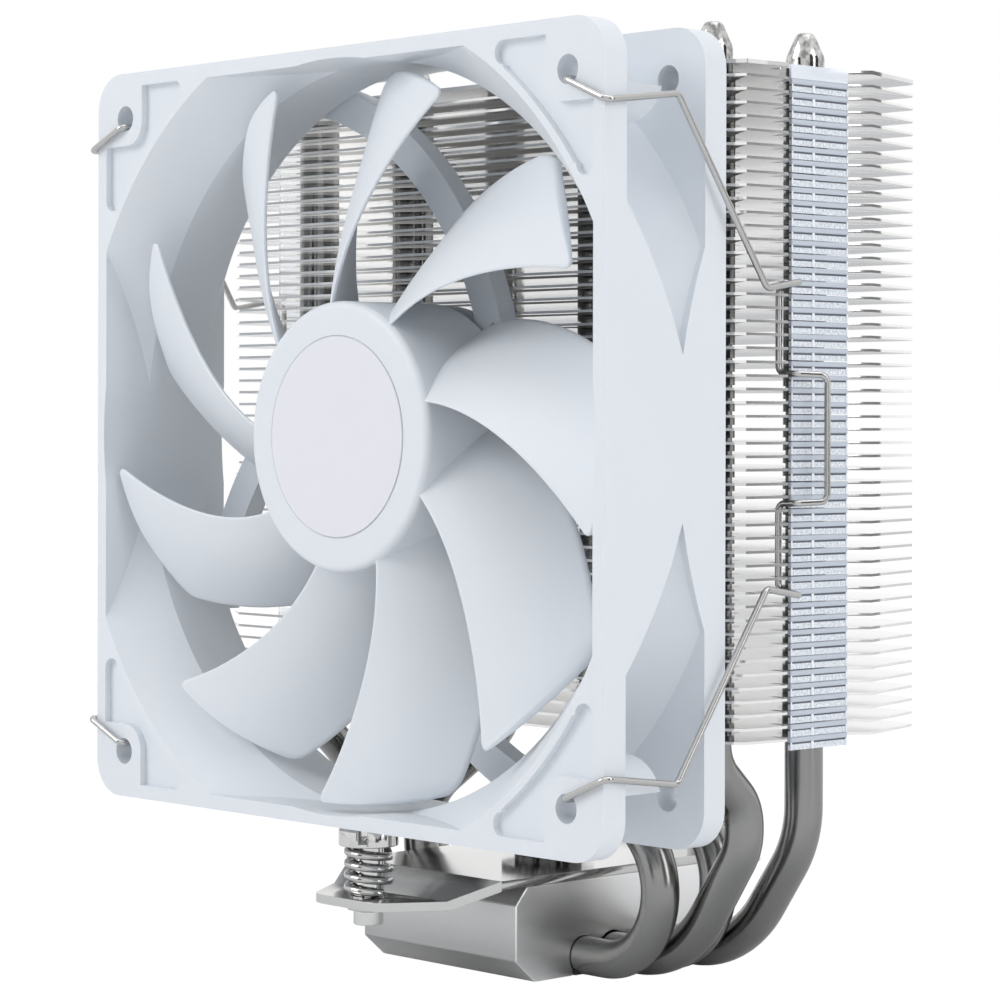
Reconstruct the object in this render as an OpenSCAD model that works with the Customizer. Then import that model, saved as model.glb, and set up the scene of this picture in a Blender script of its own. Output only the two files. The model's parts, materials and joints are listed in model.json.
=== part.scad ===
// Tower cooler for a processor: four direct-touch heat pipes, a stack of fins and a clipped-on fan.
// Millimetres. Origin at the centre of the contact face, +X right seen from the fan, +Y to the rear, +Z up.

/* [Fan frame] */
// Spacing of the four mounting holes
hole_pitch = 105; // [70:0.5:125]
// Distance of a mounting hole from the frame's edges
hole_edge = 7.5; // [5:0.1:12]
// Diameter of a mounting hole
hole_d = 4.3; // [3:0.1:6]
// Depth of the fan frame along the air flow
fan_d = 25; // [15:0.5:38]
// Clear height under the fan frame
fan_clear = 24.9; // [10:0.1:40]
// Front face of the fan, measured forward from the base centre
fan_front = 47.4; // [40:0.1:60]
// Outer corner radius of the frame
fan_corner_r = 6; // [1:0.5:10]
// Thickness of each mounting flange
flange_t = 4.4; // [2:0.1:8]
// Radius of the boss behind the front flange at a mounting hole
hole_boss_r = 6.9; // [4:0.1:8]
// Length of that boss
hole_boss_len = 8; // [2:0.1:12]
// Edge of the boss toward the frame's corner, inward of the hole
hole_boss_edge = 2; // [0:0.1:4]
// Radius of the air throat
throat_r = 58.3; // [38:0.1:68]
// Radius of the inlet bell at the front face
bell_r = 65.3; // [45:0.1:80]
// Depth of the inlet bell
bell_depth = 9; // [3:0.5:14]
// Radius of the outlet flare at the rear face
outlet_r = 63.5; // [45:0.5:75]
// Depth of the outlet flare
outlet_depth = 4.6; // [2:0.1:10]
// Least width of the rim between the bell and the frame's edge
rim_t = 2.3; // [0.8:0.1:4]
// Outer radius of the duct wall at its waist
waist_r = 61.2; // [40:0.1:70]
// Distance of the waist from the rear face
waist_at = 9; // [5:0.5:18]
// Outer radius of the duct wall where it meets a flange
wall_end_r = 69; // [45:0.5:80]
// Set-back of the duct wall behind the frame's flat sides
web_step = 1.3; // [0.5:0.1:2]
// Side of the raised pad round a mounting hole
pad_side = 12; // [8:0.5:18]
// Inner corner radius of that pad
pad_r = 4; // [1:0.5:6]
// Width of the rim outside a corner pocket
pocket_rim = 2.2; // [1:0.1:5]
// Wall between a corner pocket and the bell
pocket_wall = 1.2; // [1:0.1:5]
// Rounding of a corner pocket's two far ends
pocket_end_r = 1.8; // [0.5:0.1:4]
// Depth of a corner pocket
pocket_depth = 1.2; // [0.4:0.1:3]

/* [Fan struts and motor seat] */
// Number of struts behind the rotor
strut_n = 4; // [3:1:7]
// Width of a strut
strut_w = 5.5; // [2:0.1:10]
// Depth of a strut along the air flow
strut_t = 3.6; // [1:0.1:6]
// Radius of the arc that a strut follows
strut_arc_r = 55.6; // [30:0.1:90]
// Centre of that arc, to the side of the fan's axis
strut_arc_x = -39.8; // [-60:0.1:0]
// Centre of that arc, above the fan's axis
strut_arc_y = 1.2; // [-10:0.1:10]
// Arc angle where a strut leaves the motor seat
strut_from = 14; // [0:1:40]
// Arc angle where a strut enters the duct wall
strut_to = 79; // [50:1:90]
// Radius of the motor seat
seat_r = 20.8; // [12:0.1:30]
// Thickness of the motor seat
seat_t = 2.2; // [1:0.1:5]
// Recess of the motor seat behind the rear face
seat_inset = 0.6; // [0:0.1:2]
// Width of the notch where the fan lead leaves the seat
lead_notch_w = 5; // [2:0.1:10]

/* [Rotor] */
// Radius of the hub
hub_r = 21; // [10:0.1:35]
// Set-back of the hub face behind the front of the frame
hub_setback = 1.5; // [0.5:0.1:5]
// Clear height between the rear face and the hub's lower rim
hub_clear = 4.5; // [2:0.1:10]
// Rounding of the hub's front edge
hub_round = 1.2; // [0.5:0.1:6]
// Thickness of the hub's side wall
hub_wall = 1.7; // [1:0.1:4]
// Thickness of the hub's face
hub_face_t = 1.8; // [1:0.1:4]
// Radius of the boss that grips the shaft
boss_r = 4; // [2:0.1:8]
// Length of that boss
boss_len = 4.2; // [2:0.1:8]
// Radius of the plain disc on the hub face
disc_r = 15.5; // [5:0.1:20]
// Thickness of that disc
disc_t = 0.3; // [0.1:0.05:1]
// Depth of the seat for that disc
disc_seat = 0.2; // [0.05:0.05:1]
// Number of blades
blade_n = 9; // [3:1:13]
// Radius of the blade tips
blade_tip_r = 57; // [36:0.1:67]
// Thickness of a blade at mid chord
blade_t = 1.6; // [0.8:0.1:4]
// Thickness of a blade at its edges
blade_edge_t = 0.7; // [0.4:0.1:2]
// Angle of the leading edge at the hub, up from +X seen from the front
lead_root = 55.5; // [0:0.5:90]
// Turn of the leading edge from the hub to the tip, clockwise
lead_sweep = 30.5; // [0:0.5:60]
// Extra bow of the leading edge at mid span
lead_bow = 2; // [0:0.5:8]
// Angle that a blade spans at the hub
chord_root = 35; // [15:0.5:40]
// Angle that a blade spans at the tip
chord_tip = 23; // [15:0.5:40]
// Angle taken off that span at mid span
chord_dip = 1.2; // [0:0.1:6]
// Angle cut off the leading corner of a blade's tip
lead_cut = 1; // [0:0.5:10]
// Angle cut off the trailing corner of a blade's tip
trail_cut = 0.5; // [0:0.5:10]
// Leading edge behind the front face
lead_depth = 2.2; // [0.5:0.1:6]
// Trailing edge behind the front face at the hub
trail_depth_root = 19; // [8:0.1:22]
// Trailing edge behind the front face at the tip
trail_depth_tip = 11; // [5:0.1:22]
// Camber of a blade as a share of its axial depth
blade_camber = 0.1; // [0:0.01:0.3]
// Steps along the span of a blade
blade_span_n = 10; // [4:1:16]
// Steps along the chord of a blade
blade_chord_n = 8; // [4:1:12]

/* [Motor] */
// Radius of the shaft
shaft_r = 1.5; // [1:0.05:3]
// Radial running clearance of the shaft in its bearing
run_gap = 0.05; // [0.01:0.01:0.1]
// Radius of the bearing sleeve
sleeve_r = 4.5; // [3:0.1:8]
// Wall of the tube that holds the sleeve
tube_wall = 1.25; // [0.8:0.05:3]
// Outer radius of the stator poles
stator_r = 15.8; // [8:0.1:25]
// Height of the stator core
stator_h = 6; // [3:0.1:12]
// Number of stator poles
pole_n = 4; // [4:2:6]
// Width of a stator tooth
tooth_w = 4; // [2:0.1:8]
// Wall of the stator core round the bearing tube
core_wall = 2.2; // [1:0.1:4]
// Thickness of a pole shoe
shoe_t = 2.6; // [1:0.1:5]
// Clearance between a winding and its pole shoe
coil_clear = 0.9; // [0.3:0.1:3]
// Half angle of a pole shoe
shoe_half = 32; // [15:1:42]
// Build-up of a winding on each side of its tooth
coil_t = 2; // [0.5:0.1:4]
// Thickness of the ring magnet
magnet_t = 2.05; // [1:0.05:4]
// Height of the ring magnet
magnet_h = 9; // [4:0.1:14]
// Thickness of the steel rotor cup
cup_t = 0.75; // [0.4:0.05:2]
// Radius of the motor's circuit board
board_r = 17.5; // [8:0.1:25]
// Thickness of the motor's circuit board
board_t = 1.2; // [0.6:0.1:2]
// Radius of the plain label on the motor seat
label_r = 16; // [8:0.1:20]

/* [Fins] */
// Number of fins, the top plate not counted
fin_n = 50; // [10:1:70]
// Spacing of the fins
fin_pitch = 2; // [1.4:0.05:4]
// Thickness of a fin
fin_t = 0.4; // [0.2:0.05:1]
// Underside of the lowest fin
fin_z = 40; // [30:0.5:60]
// Thickness of the top plate
top_t = 0.6; // [0.3:0.05:1.5]
// Widest part of the fins
fin_w = 125; // [90:0.5:150]
// Width across the front shoulders of the fins
shoulder_w = 120.2; // [90:0.1:150]
// Width of the straight front edge of the fins
front_flat_w = 108; // [80:0.1:140]
// Flare of the front shoulders toward the clip notch
shoulder_flare = 0.8; // [0:0.1:2]
// Width across the folded tabs
tab_w = 120; // [90:0.1:150]
// Front edge of the fins behind the fan
fin_fan_gap = 0.4; // [0.2:0.1:3]
// Rear edge of the fins behind the base centre
fin_rear = 23.6; // [15:0.1:40]
// Corner cut at the front shoulders
front_cut = 3.9; // [0.5:0.1:6]
// Front end of the folded tabs
tab_front = -8.2; // [-15:0.1:0]
// Rear end of the folded tabs
tab_rear = 4.6; // [0:0.1:12]
// Width of the notch that takes the clip wire
notch_w = 1.6; // [1.5:0.1:5]
// Depth of that notch below the tabs
notch_depth = 3.1; // [1.5:0.1:6]
// Run from the tabs out to the rear shoulders
rear_step = 2.8; // [1:0.1:6]
// Width across the rear corners
rear_w = 116.4; // [90:0.1:140]
// Corner cut at the rear
rear_cut = 1.3; // [0.5:0.1:4]
// Outer radius of the collars round the pipes
collar_r = 3.4; // [3.2:0.05:4.5]
// Height of a collar under its fin
collar_h = 1.1; // [0.4:0.05:1.5]

/* [Heat pipes] */
// Diameter of a heat pipe
pipe_d = 6; // [4:0.5:8]
// Spacing of the pipes in the base
pipe_pitch = 6.4; // [6.2:0.1:9]
// Height of the pipe axes in the base
pipe_z = 3.05; // [2.5:0.05:6]
// Width of the flat that touches the processor
pipe_flat_w = 4.4; // [2:0.1:5.4]
// Distance of the inner legs from the centre
leg_in_x = 22; // [15:0.5:35]
// Distance of the outer legs from the centre
leg_out_x = 46.3; // [35:0.1:55]
// Distance of the two leg rows from the centre line
leg_y = 10.5; // [6:0.1:16]
// Rise of the pipe tips above the underside of the top plate
tip_rise = 8; // [5:0.1:15]
// Length of a pipe's pinched tip
tip_len = 3.9; // [2:0.1:6]
// Radius of the end of that tip
tip_r = 1.6; // [0.5:0.1:2.5]
// Bend radius of the outer pipes
bend_out_r = 18; // [8:0.5:25]
// Slope of the outer pipes between their bends
slope_out = 57; // [30:1:75]
// Bend radius of the inner pipes
bend_in_r = 12; // [8:0.5:18]
// Start of the outer pipes' bends beyond the base centre
bend_start = 24; // [18:0.5:32]
// Start of the inner pipes' bends beyond the base centre
bend_start_in = 23; // [18:0.5:32]
// Lean of the inner pipes toward the centre
lean_in = 40; // [0:1:50]
// Bend radius where a sloped length turns upright
knee_r = 9; // [5:0.5:18]
// Bend radius of the small side steps
step_r = 7; // [5:0.5:14]

/* [Base] */
// Width of the base block
base_w = 36; // [28:0.5:60]
// Depth of the base block
base_d = 48.8; // [30:0.1:70]
// Height of the base block
base_h = 15; // [8:0.5:30]
// Run of the lower front and rear chamfers
low_chamfer_y = 4.1; // [0.5:0.1:8]
// Height of the lower chamfers
low_chamfer_z = 3.5; // [0.5:0.1:8]
// Run of the upper front and rear chamfers
top_chamfer_y = 2.4; // [0.5:0.1:8]
// Height of the upper chamfers
top_chamfer_z = 2.7; // [0.5:0.1:8]
// Clearance between a pipe and its groove
solder_gap = 0.03; // [0.01:0.01:0.2]

/* [Crossbar] */
// Thickness of the crossbar
bar_t = 1.4; // [0.8:0.1:3]
// Overall length of the crossbar
bar_len = 88.6; // [70:0.1:110]
// Length of its flat middle
bar_flat_len = 55; // [30:0.5:70]
// Length of each bend
bar_bend_len = 6.6; // [1:0.1:8]
// Drop of the arms below the middle
bar_drop = 2.9; // [0:0.1:6]
// Corner radius of the arm ends
bar_end_r = 4.5; // [2:0.1:8]
// Half width between the two end corner centres
bar_end_half = 4.8; // [1:0.1:10]
// Spacing of the spring screws
screw_pitch = 78; // [70:0.5:90]

/* [Knob] */
// Radius of the knurled knob
knob_r = 7.7; // [4:0.1:12]
// Height of the knurled knob
knob_h = 3.2; // [1:0.1:8]
// Radius of the plain foot under the knob's rim
knob_foot_r = 5.6; // [3:0.1:8]
// Height of that foot
knob_foot_h = 1.4; // [0.5:0.1:2]
// Number of knurls
knurl_n = 36; // [12:1:60]
// Radius of a knurl groove
knurl_r = 0.35; // [0.1:0.05:1]
// Radius of the knob's thread
knob_thread_r = 2.45; // [1:0.05:4]
// Length of the knob's thread
knob_thread_len = 7; // [3:0.5:12]

/* [Spring screws] */
// Radius of a screw's head
head_r = 4.7; // [3:0.1:8]
// Height of a screw's head
head_h = 3; // [1:0.1:6]
// Underside of the head above the contact face
head_z = 21.3; // [18:0.1:24]
// Radius of the screw's sleeve
sleeve_nut_r = 2.35; // [1.5:0.05:4]
// Lower end of the sleeve above the contact face
sleeve_end_z = 9; // [4:0.1:11]
// Radius of the thread inside the sleeve
thread_r = 1.25; // [0.8:0.05:2]
// Depth of the thread inside the sleeve
thread_len = 9; // [4:0.5:12]
// Clearance of the sleeve in the crossbar
bar_hole_gap = 0.4; // [0.1:0.05:1]
// Half width of the drive slot in the head
slot_half = 0.7; // [0.3:0.05:1.5]
// Depth of the drive slot
slot_depth = 2.3; // [0.5:0.1:2.5]
// Direction of the drive slot
slot_turn = -52; // [-90:1:90]
// Outer radius of the retaining ring
ring_r = 3.3; // [2.5:0.05:5]
// Thickness of the retaining ring
ring_t = 0.45; // [0.2:0.05:1]
// Depth of the groove for the ring
groove_depth = 0.4; // [0.1:0.05:0.8]
// Gap between the ring and the crossbar at rest
ring_gap = 0.3; // [0.1:0.05:1]
// Outer radius of the coil spring
spring_r = 3.9; // [3:0.1:5]
// Wire diameter of the coil spring
spring_wire = 1.2; // [0.5:0.1:2]
// Turns of the coil spring
spring_turns = 3.5; // [2:0.5:8]
// Gap at each end of the coil spring
spring_gap = 0.06; // [0.02:0.01:0.3]

/* [Fan clips] */
// Wire diameter of a fan clip
wire_d = 1; // [0.8:0.1:2]
// Length of a clip's hook inside the fan hole
hook_in = 3.2; // [1:0.1:6]
// Gap between the wire and the fan's front face
wire_gap = 0.25; // [0.1:0.05:1]
// Wire axis outside the fan's side
wire_side = 1.1; // [0.8:0.1:3]
// Hook below the axis of its mounting hole
hook_drop = 1.3; // [0:0.1:1.5]
// Wire at the fan's front edge, below the mounting hole
edge_drop = 5; // [0:0.1:15]
// Wire at the middle of the fan's side, below the mounting hole
side_drop = 3.1; // [0:0.1:15]
// Set-back of that point behind the fan's front
side_back = 13.7; // [5:0.1:20]
// Height of the hairpin that enters the fin notch
pin_dz = 22.6; // [10:0.1:40]
// Half height of the finger loop
loop_half = 8.2; // [4:0.1:15]
// Stand-off of the finger loop beyond the tabs
loop_out = 3.9; // [2:0.1:8]
// Gap between the wire and the tabs it rests against
wire_rest = 0.05; // [0.05:0.05:0.3]
// Bend radius of the wire
wire_bend = 1.2; // [0.7:0.1:3]

/* [Hidden] */
$fn = 64;
pipe_r = pipe_d / 2;
fan_w = hole_pitch + 2 * hole_edge;
fan_z = fan_clear + fan_w / 2;
fan_rear_y = fan_d - fan_front;
fin_front_y = fan_rear_y + fin_fan_gap;
fin_top_z = fin_z + fin_n * fin_pitch;
total_h = fin_top_z + tip_rise;
bar_z = base_h;
bar_top_z = bar_z + bar_t;
arm_z = bar_z - bar_drop;
arm_top_z = arm_z + bar_t;
screw_y = screw_pitch / 2;
bar_hole_r = sleeve_nut_r + bar_hole_gap;
ring_top_z = arm_z - ring_gap;
seat_top = seat_inset + seat_t;
hub_top = fan_d - hub_setback;
cup_r = hub_r - hub_wall - 0.05;
cup_top = hub_top - hub_face_t - 0.1;
magnet_r = cup_r - cup_t - 0.05;
tube_r = sleeve_r + 0.05 + tube_wall;
sleeve_from = seat_top + 2.6;
sleeve_to = sleeve_from + 11.2;
washer_z = seat_top + 1.5;
washer_t = 0.4;
board_z = seat_top + 0.4;
stator_z = board_z + board_t + 2.6;
seam_len = 0.4;
seam_lap = 0.015;
wire_r = wire_d / 2;
wire_front_y = -fan_front - wire_gap - wire_r;
wire_side_x = fan_w / 2 + wire_side;
hook_dz = hole_pitch / 2 - hook_drop;
edge_dz = hole_pitch / 2 - edge_drop;
side_dz = hole_pitch / 2 - side_drop;
notch_y = tab_front - wire_rest - wire_r;
notch_x = tab_w / 2 - notch_depth + wire_r + 0.7;

function unit(v) = v / norm(v);
function mix(a, b, t) = a + (b - a) * t;
function flip_x(p) = [-p[0], p[1], p[2]];
function reversed(v) = [for (i = [len(v) - 1:-1:0]) v[i]];
function turn_at(p, i) = acos(unit(p[i] - p[i - 1]) * unit(p[i + 1] - p[i]));
function bend_run(p, i, r) = r * tan(turn_at(p, i) / 2);

// Moves a solid built along +Z so that it starts at a and points along d
module along(a, d, side) {
    z = unit(d);
    x = unit(side - (side * z) * z);
    y = cross(z, x);
    multmatrix([
        [x[0], y[0], z[0], a[0]],
        [x[1], y[1], z[1], a[1]],
        [x[2], y[2], z[2], a[2]],
        [0, 0, 0, 1]
    ]) children();
}

// Hair-thin band that closes the seam between a straight length and a bend
module seam(at, d, side, r) {
    along(at - d * seam_len / 2, d, side) cylinder(r = r + seam_lap, h = seam_len);
}

// Round bar of radius r through the points p, with bend radius bends[i] at point i
module bent_bar(p, bends, r) {
    last = len(p) - 1;
    for (i = [0:last - 1]) {
        d = unit(p[i + 1] - p[i]);
        from = i == 0 ? 0 : bend_run(p, i, bends[i]);
        to = i + 1 == last ? 0 : bend_run(p, i + 1, bends[i + 1]);
        side = abs(d[2]) < 0.9 ? [0, 0, 1] : [1, 0, 0];
        along(p[i] + d * from, d, side) cylinder(r = r, h = norm(p[i + 1] - p[i]) - from - to);
    }
    for (i = [1:last - 1]) {
        u = unit(p[i] - p[i - 1]);
        v = unit(p[i + 1] - p[i]);
        inward = unit(v - (v * u) * u);
        start = p[i] - u * bend_run(p, i, bends[i]);
        along(start + inward * bends[i], cross(-inward, u), -inward)
            rotate_extrude(angle = turn_at(p, i)) translate([bends[i], 0]) circle(r = r);
        seam(start, u, inward, r);
        seam(p[i] + v * bend_run(p, i, bends[i]), v, cross(u, v), r);
    }
}

module rounded_square(w, r) {
    square([w - 2 * r, w], center = true);
    square([w, w - 2 * r], center = true);
    for (x = [-1, 1], y = [-1, 1]) translate([x * (w / 2 - r), y * (w / 2 - r)]) circle(r = r);
}

module ring(outer, inner, h) {
    difference() {
        cylinder(r = outer, h = h);
        translate([0, 0, -1]) cylinder(r = inner, h = h + 2);
    }
}

// Fan parts are built with the air axis along +Z, rear face at 0 and front face at fan_d
module in_fan() {
    translate([0, fan_rear_y, fan_z]) rotate([90, 0, 0]) children();
}

// Base block, an extrusion along X with chamfered front and rear edges
module base_profile() {
    h = base_d / 2;
    polygon([
        [-h + low_chamfer_y, 0], [h - low_chamfer_y, 0], [h, low_chamfer_z],
        [h, base_h - top_chamfer_z], [h - top_chamfer_y, base_h],
        [-h + top_chamfer_y, base_h], [-h, base_h - top_chamfer_z], [-h, low_chamfer_z]
    ]);
}

function pipe_y(k) = (k - 1.5) * pipe_pitch;

module pipe_channel(grow) {
    translate([-base_w / 2 - 1, 0, pipe_z]) rotate([0, 90, 0]) cylinder(r = pipe_r + grow, h = base_w + 2);
}

module base_block() {
    color("silver") difference() {
        translate([-base_w / 2, 0, 0]) rotate([90, 0, 90]) linear_extrude(base_w) base_profile();
        for (k = [0:3]) translate([0, pipe_y(k), 0]) {
            pipe_channel(solder_gap);
            translate([0, 0, 0.2])
                cube([base_w + 2, pipe_flat_w + 2 * solder_gap, 2.4], center = true);
        }
        translate([0, 0, base_h - knob_thread_len - 0.5]) cylinder(r = knob_thread_r + run_gap, h = base_h);
    }
}

// Half paths of the heat pipes, from the first bend outside the base to the tip
function out_corner() = bend_start + bend_out_r * tan(slope_out / 2);
function out_knee() = pipe_z + (leg_out_x - out_corner()) * tan(slope_out);
function in_corner() = bend_start_in + bend_in_r * tan((90 + lean_in) / 2);
function in_knee() = pipe_z + (in_corner() - leg_in_x) / tan(lean_in);
function tip_base() = total_h - tip_len;
function inner_front(y) = [
    [in_corner(), y, pipe_z],
    [leg_in_x, -leg_y, in_knee()],
    [leg_in_x, -leg_y, tip_base()]
];
function outer_front(y) = [
    [out_corner(), y, pipe_z],
    [leg_out_x, y, out_knee()],
    [leg_out_x, y, out_knee() + 6.2],
    [leg_out_x, -leg_y, out_knee() + 13.2],
    [leg_out_x, -leg_y, tip_base()]
];
function inner_rear(y) = [
    [in_corner(), y, pipe_z],
    [mix(in_corner(), leg_in_x, 0.7), y, mix(pipe_z, in_knee(), 0.7)],
    [leg_in_x, leg_y, in_knee() + 0.2],
    [leg_in_x, leg_y, tip_base()]
];
function outer_rear(y) = [
    [out_corner(), y, pipe_z],
    [leg_out_x, leg_y, out_knee()],
    [leg_out_x, leg_y, tip_base()]
];

module pipe_tip(p) {
    seam(p, [0, 0, 1], [1, 0, 0], pipe_r);
    translate(p) rotate_extrude() polygon([
        [0, 0], [pipe_r, 0], [tip_r, tip_len * 0.82], [tip_r * 0.75, tip_len * 0.95], [0, tip_len]
    ]);
}

module heat_pipe(half, bends) {
    path = concat(reversed([for (p = half) flip_x(p)]), half);
    tip = half[len(half) - 1];
    color("gainsboro") union() {
        bent_bar(path, concat([0], reversed(bends), bends, [0]), pipe_r);
        pipe_tip(tip);
        pipe_tip(flip_x(tip));
        translate([-base_w / 2, half[0][1] - pipe_flat_w / 2, 0]) cube([base_w, pipe_flat_w, 1.2]);
    }
}

module heat_pipe_1() {
    heat_pipe(inner_front(pipe_y(0)), [bend_in_r, knee_r]);
}

module heat_pipe_2() {
    heat_pipe(outer_front(pipe_y(1)), [bend_out_r, knee_r, step_r, step_r]);
}

module heat_pipe_3() {
    heat_pipe(inner_rear(pipe_y(2)), [bend_in_r, step_r, step_r]);
}

module heat_pipe_4() {
    heat_pipe(outer_rear(pipe_y(3)), [bend_out_r, bend_out_r]);
}

// Right half of the fin outline, from the front edge round to the rear edge
function fin_half() = [
    [0, fin_front_y],
    [front_flat_w / 2, fin_front_y],
    [shoulder_w / 2, fin_front_y + front_cut],
    [shoulder_w / 2 + shoulder_flare, tab_front - notch_w],
    [tab_w / 2 - notch_depth, tab_front - notch_w],
    [tab_w / 2 - notch_depth, tab_front],
    [tab_w / 2, tab_front],
    [tab_w / 2, tab_rear],
    [fin_w / 2, tab_rear + rear_step],
    [rear_w / 2, fin_rear - rear_cut],
    [rear_w / 2 - rear_cut, fin_rear],
    [0, fin_rear]
];

module fin_outline() {
    difference() {
        union() {
            polygon(fin_half());
            mirror([1, 0]) polygon(fin_half());
        }
        for (s = [-1, 1], x = [leg_in_x, leg_out_x], y = [-leg_y, leg_y])
            translate([s * x, y]) circle(r = pipe_r + solder_gap);
    }
}

module pipe_collars() {
    for (s = [-1, 1], x = [leg_in_x, leg_out_x], y = [-leg_y, leg_y])
        translate([s * x, y, -collar_h]) ring(collar_r, pipe_r + solder_gap, collar_h);
}

module side_tabs(h) {
    for (s = [-1, 1])
        translate([s * (tab_w - fin_t) / 2 - fin_t / 2, tab_front, -h]) cube([fin_t, tab_rear - tab_front, h]);
}

// The fins are separate solids, each hanging its collars and tabs down toward the next
module cooling_fins() {
    tab_h = fin_pitch - fin_t - 0.1;
    color("whitesmoke") for (k = [0:fin_n - 1]) translate([0, 0, fin_z + k * fin_pitch]) union() {
        linear_extrude(fin_t) fin_outline();
        pipe_collars();
        side_tabs(tab_h);
    }
}

module top_plate() {
    color("white") translate([0, 0, fin_top_z]) union() {
        linear_extrude(top_t) fin_outline();
        side_tabs(fin_pitch - fin_t - 0.1);
    }
}

// Crossbar, a flat middle with two arms that drop to the spring screws
module bar_half_plan() {
    c = [bar_end_half, -bar_len / 2 + bar_end_r];
    a = [base_w / 2, -bar_flat_len / 2];
    far = a - c;
    tilt = atan2(far[1], far[0]) - acos(bar_end_r / norm(far));
    t = c + bar_end_r * [cos(tilt), sin(tilt)];
    polygon([
        [-a[0], 0], [-a[0], a[1]], [-t[0], t[1]], [-c[0], -bar_len / 2],
        [c[0], -bar_len / 2], t, a, [a[0], 0]
    ]);
    for (s = [-1, 1]) translate([s * c[0], c[1]]) circle(r = bar_end_r);
}

module bar_profile() {
    flat = bar_flat_len / 2;
    foot = flat + bar_bend_len;
    end = bar_len / 2;
    polygon([
        [-end, arm_z], [-foot, arm_z], [-flat + 0.6, bar_z], [flat - 0.6, bar_z], [foot, arm_z], [end, arm_z],
        [end, arm_top_z], [foot + 0.6, arm_top_z], [flat, bar_top_z], [-flat, bar_top_z],
        [-foot - 0.6, arm_top_z], [-end, arm_top_z]
    ]);
}

module crossbar() {
    color("lightgray") difference() {
        intersection() {
            linear_extrude(bar_top_z + 1) {
                bar_half_plan();
                mirror([0, 1]) bar_half_plan();
            }
            translate([-base_w, 0, 0]) rotate([90, 0, 90]) linear_extrude(2 * base_w) bar_profile();
        }
        for (s = [-1, 1]) translate([0, s * screw_y, 0]) cylinder(r = bar_hole_r, h = bar_top_z + 1);
        cylinder(r = knob_thread_r + 0.15, h = bar_top_z + 1);
    }
}

module crossbar_knob() {
    color("dimgray") union() {
        translate([0, 0, bar_top_z + 0.05]) cylinder(r = knob_foot_r, h = knob_h - 0.5);
        translate([0, 0, bar_top_z + 0.05 + knob_foot_h]) difference() {
            cylinder(r = knob_r, h = knob_h - knob_foot_h);
            for (k = [0:knurl_n - 1]) rotate([0, 0, k * 360 / knurl_n])
                translate([knob_r, 0, -1]) cylinder(r = knurl_r, h = knob_h + 2);
        }
        translate([0, 0, base_h - knob_thread_len])
            cylinder(r = knob_thread_r, h = bar_top_z + 0.1 - base_h + knob_thread_len);
    }
}

// Spring screw: slotted head, sleeve with an inner thread, and a groove for the retaining ring
module spring_screw() {
    groove_z = ring_top_z - ring_t;
    difference() {
        union() {
            translate([0, 0, head_z]) cylinder(r = head_r, h = head_h - 0.5);
            translate([0, 0, head_z + head_h - 0.5]) cylinder(r1 = head_r, r2 = head_r - 0.5, h = 0.5);
            translate([0, 0, sleeve_end_z]) cylinder(r = sleeve_nut_r, h = head_z - sleeve_end_z + 0.1);
        }
        translate([0, 0, sleeve_end_z - 1]) cylinder(r = thread_r, h = thread_len + 1);
        translate([0, 0, groove_z - 0.1]) ring(sleeve_nut_r + 1, sleeve_nut_r - groove_depth, ring_t + 0.2);
        translate([0, 0, head_z + head_h]) rotate([0, 0, slot_turn])
            cube([2 * head_r + 1, 2 * slot_half, 2 * slot_depth], center = true);
    }
}

module front_screw() {
    color("silver") translate([0, -screw_y, 0]) spring_screw();
}

module rear_screw() {
    color("silver") translate([0, screw_y, 0]) spring_screw();
}

module retaining_ring() {
    inner = sleeve_nut_r - groove_depth + run_gap;
    translate([0, 0, ring_top_z - ring_t]) difference() {
        ring(ring_r, inner, ring_t);
        translate([0, -inner * 0.75, -1]) cube([ring_r + 1, inner * 1.5, ring_t + 2]);
    }
}

module front_retaining_ring() {
    color("gray") translate([0, -screw_y, 0]) retaining_ring();
}

module rear_retaining_ring() {
    color("gray") translate([0, screw_y, 0]) retaining_ring();
}

// Coil spring as one tube of rings of six points along a helix
curl_rings = 8;
tube_sides = 6;
spring_rings = spring_turns * curl_rings;
spring_mid_r = spring_r - spring_wire / 2;
spring_low = arm_top_z + spring_gap + spring_wire / 2;
spring_high = head_z - spring_gap - spring_wire / 2;
function spring_angle(k) = k * 360 / curl_rings;
function spring_height(k) = mix(spring_low, spring_high, k / spring_rings);
function spring_ring(k) = [
    for (j = [0:tube_sides - 1])
        let (a = spring_angle(k), b = j * 360 / tube_sides, r = spring_mid_r + cos(b) * spring_wire / 2)
            [r * cos(a), r * sin(a), spring_height(k) + sin(b) * spring_wire / 2]
];
spring_points = [for (k = [0:spring_rings]) each spring_ring(k)];
function ring_point(k, j) = k * tube_sides + (j + tube_sides) % tube_sides;
spring_faces = concat(
    [for (k = [0:spring_rings - 1], j = [0:tube_sides - 1])
        [ring_point(k, j), ring_point(k, j + 1), ring_point(k + 1, j)]],
    [for (k = [0:spring_rings - 1], j = [0:tube_sides - 1])
        [ring_point(k, j + 1), ring_point(k + 1, j + 1), ring_point(k + 1, j)]],
    [for (j = [1:tube_sides - 2]) [ring_point(0, 0), ring_point(0, j + 1), ring_point(0, j)]],
    [for (j = [1:tube_sides - 2])
        [ring_point(spring_rings, 0), ring_point(spring_rings, j), ring_point(spring_rings, j + 1)]]
);
spring_self_gap = min([
    for (k = [0:spring_rings], i = [0:tube_sides - 1])
        for (m = [k + curl_rings - 2:1:min(k + curl_rings + 2, spring_rings)], j = [0:tube_sides - 1])
            norm(spring_points[ring_point(k, i)] - spring_points[ring_point(m, j)])
]);
echo(spring_least_gap = spring_self_gap);

module coil_spring() {
    polyhedron(points = spring_points, faces = spring_faces);
}

module front_spring() {
    color("silver") translate([0, -screw_y, 0]) coil_spring();
}

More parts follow.
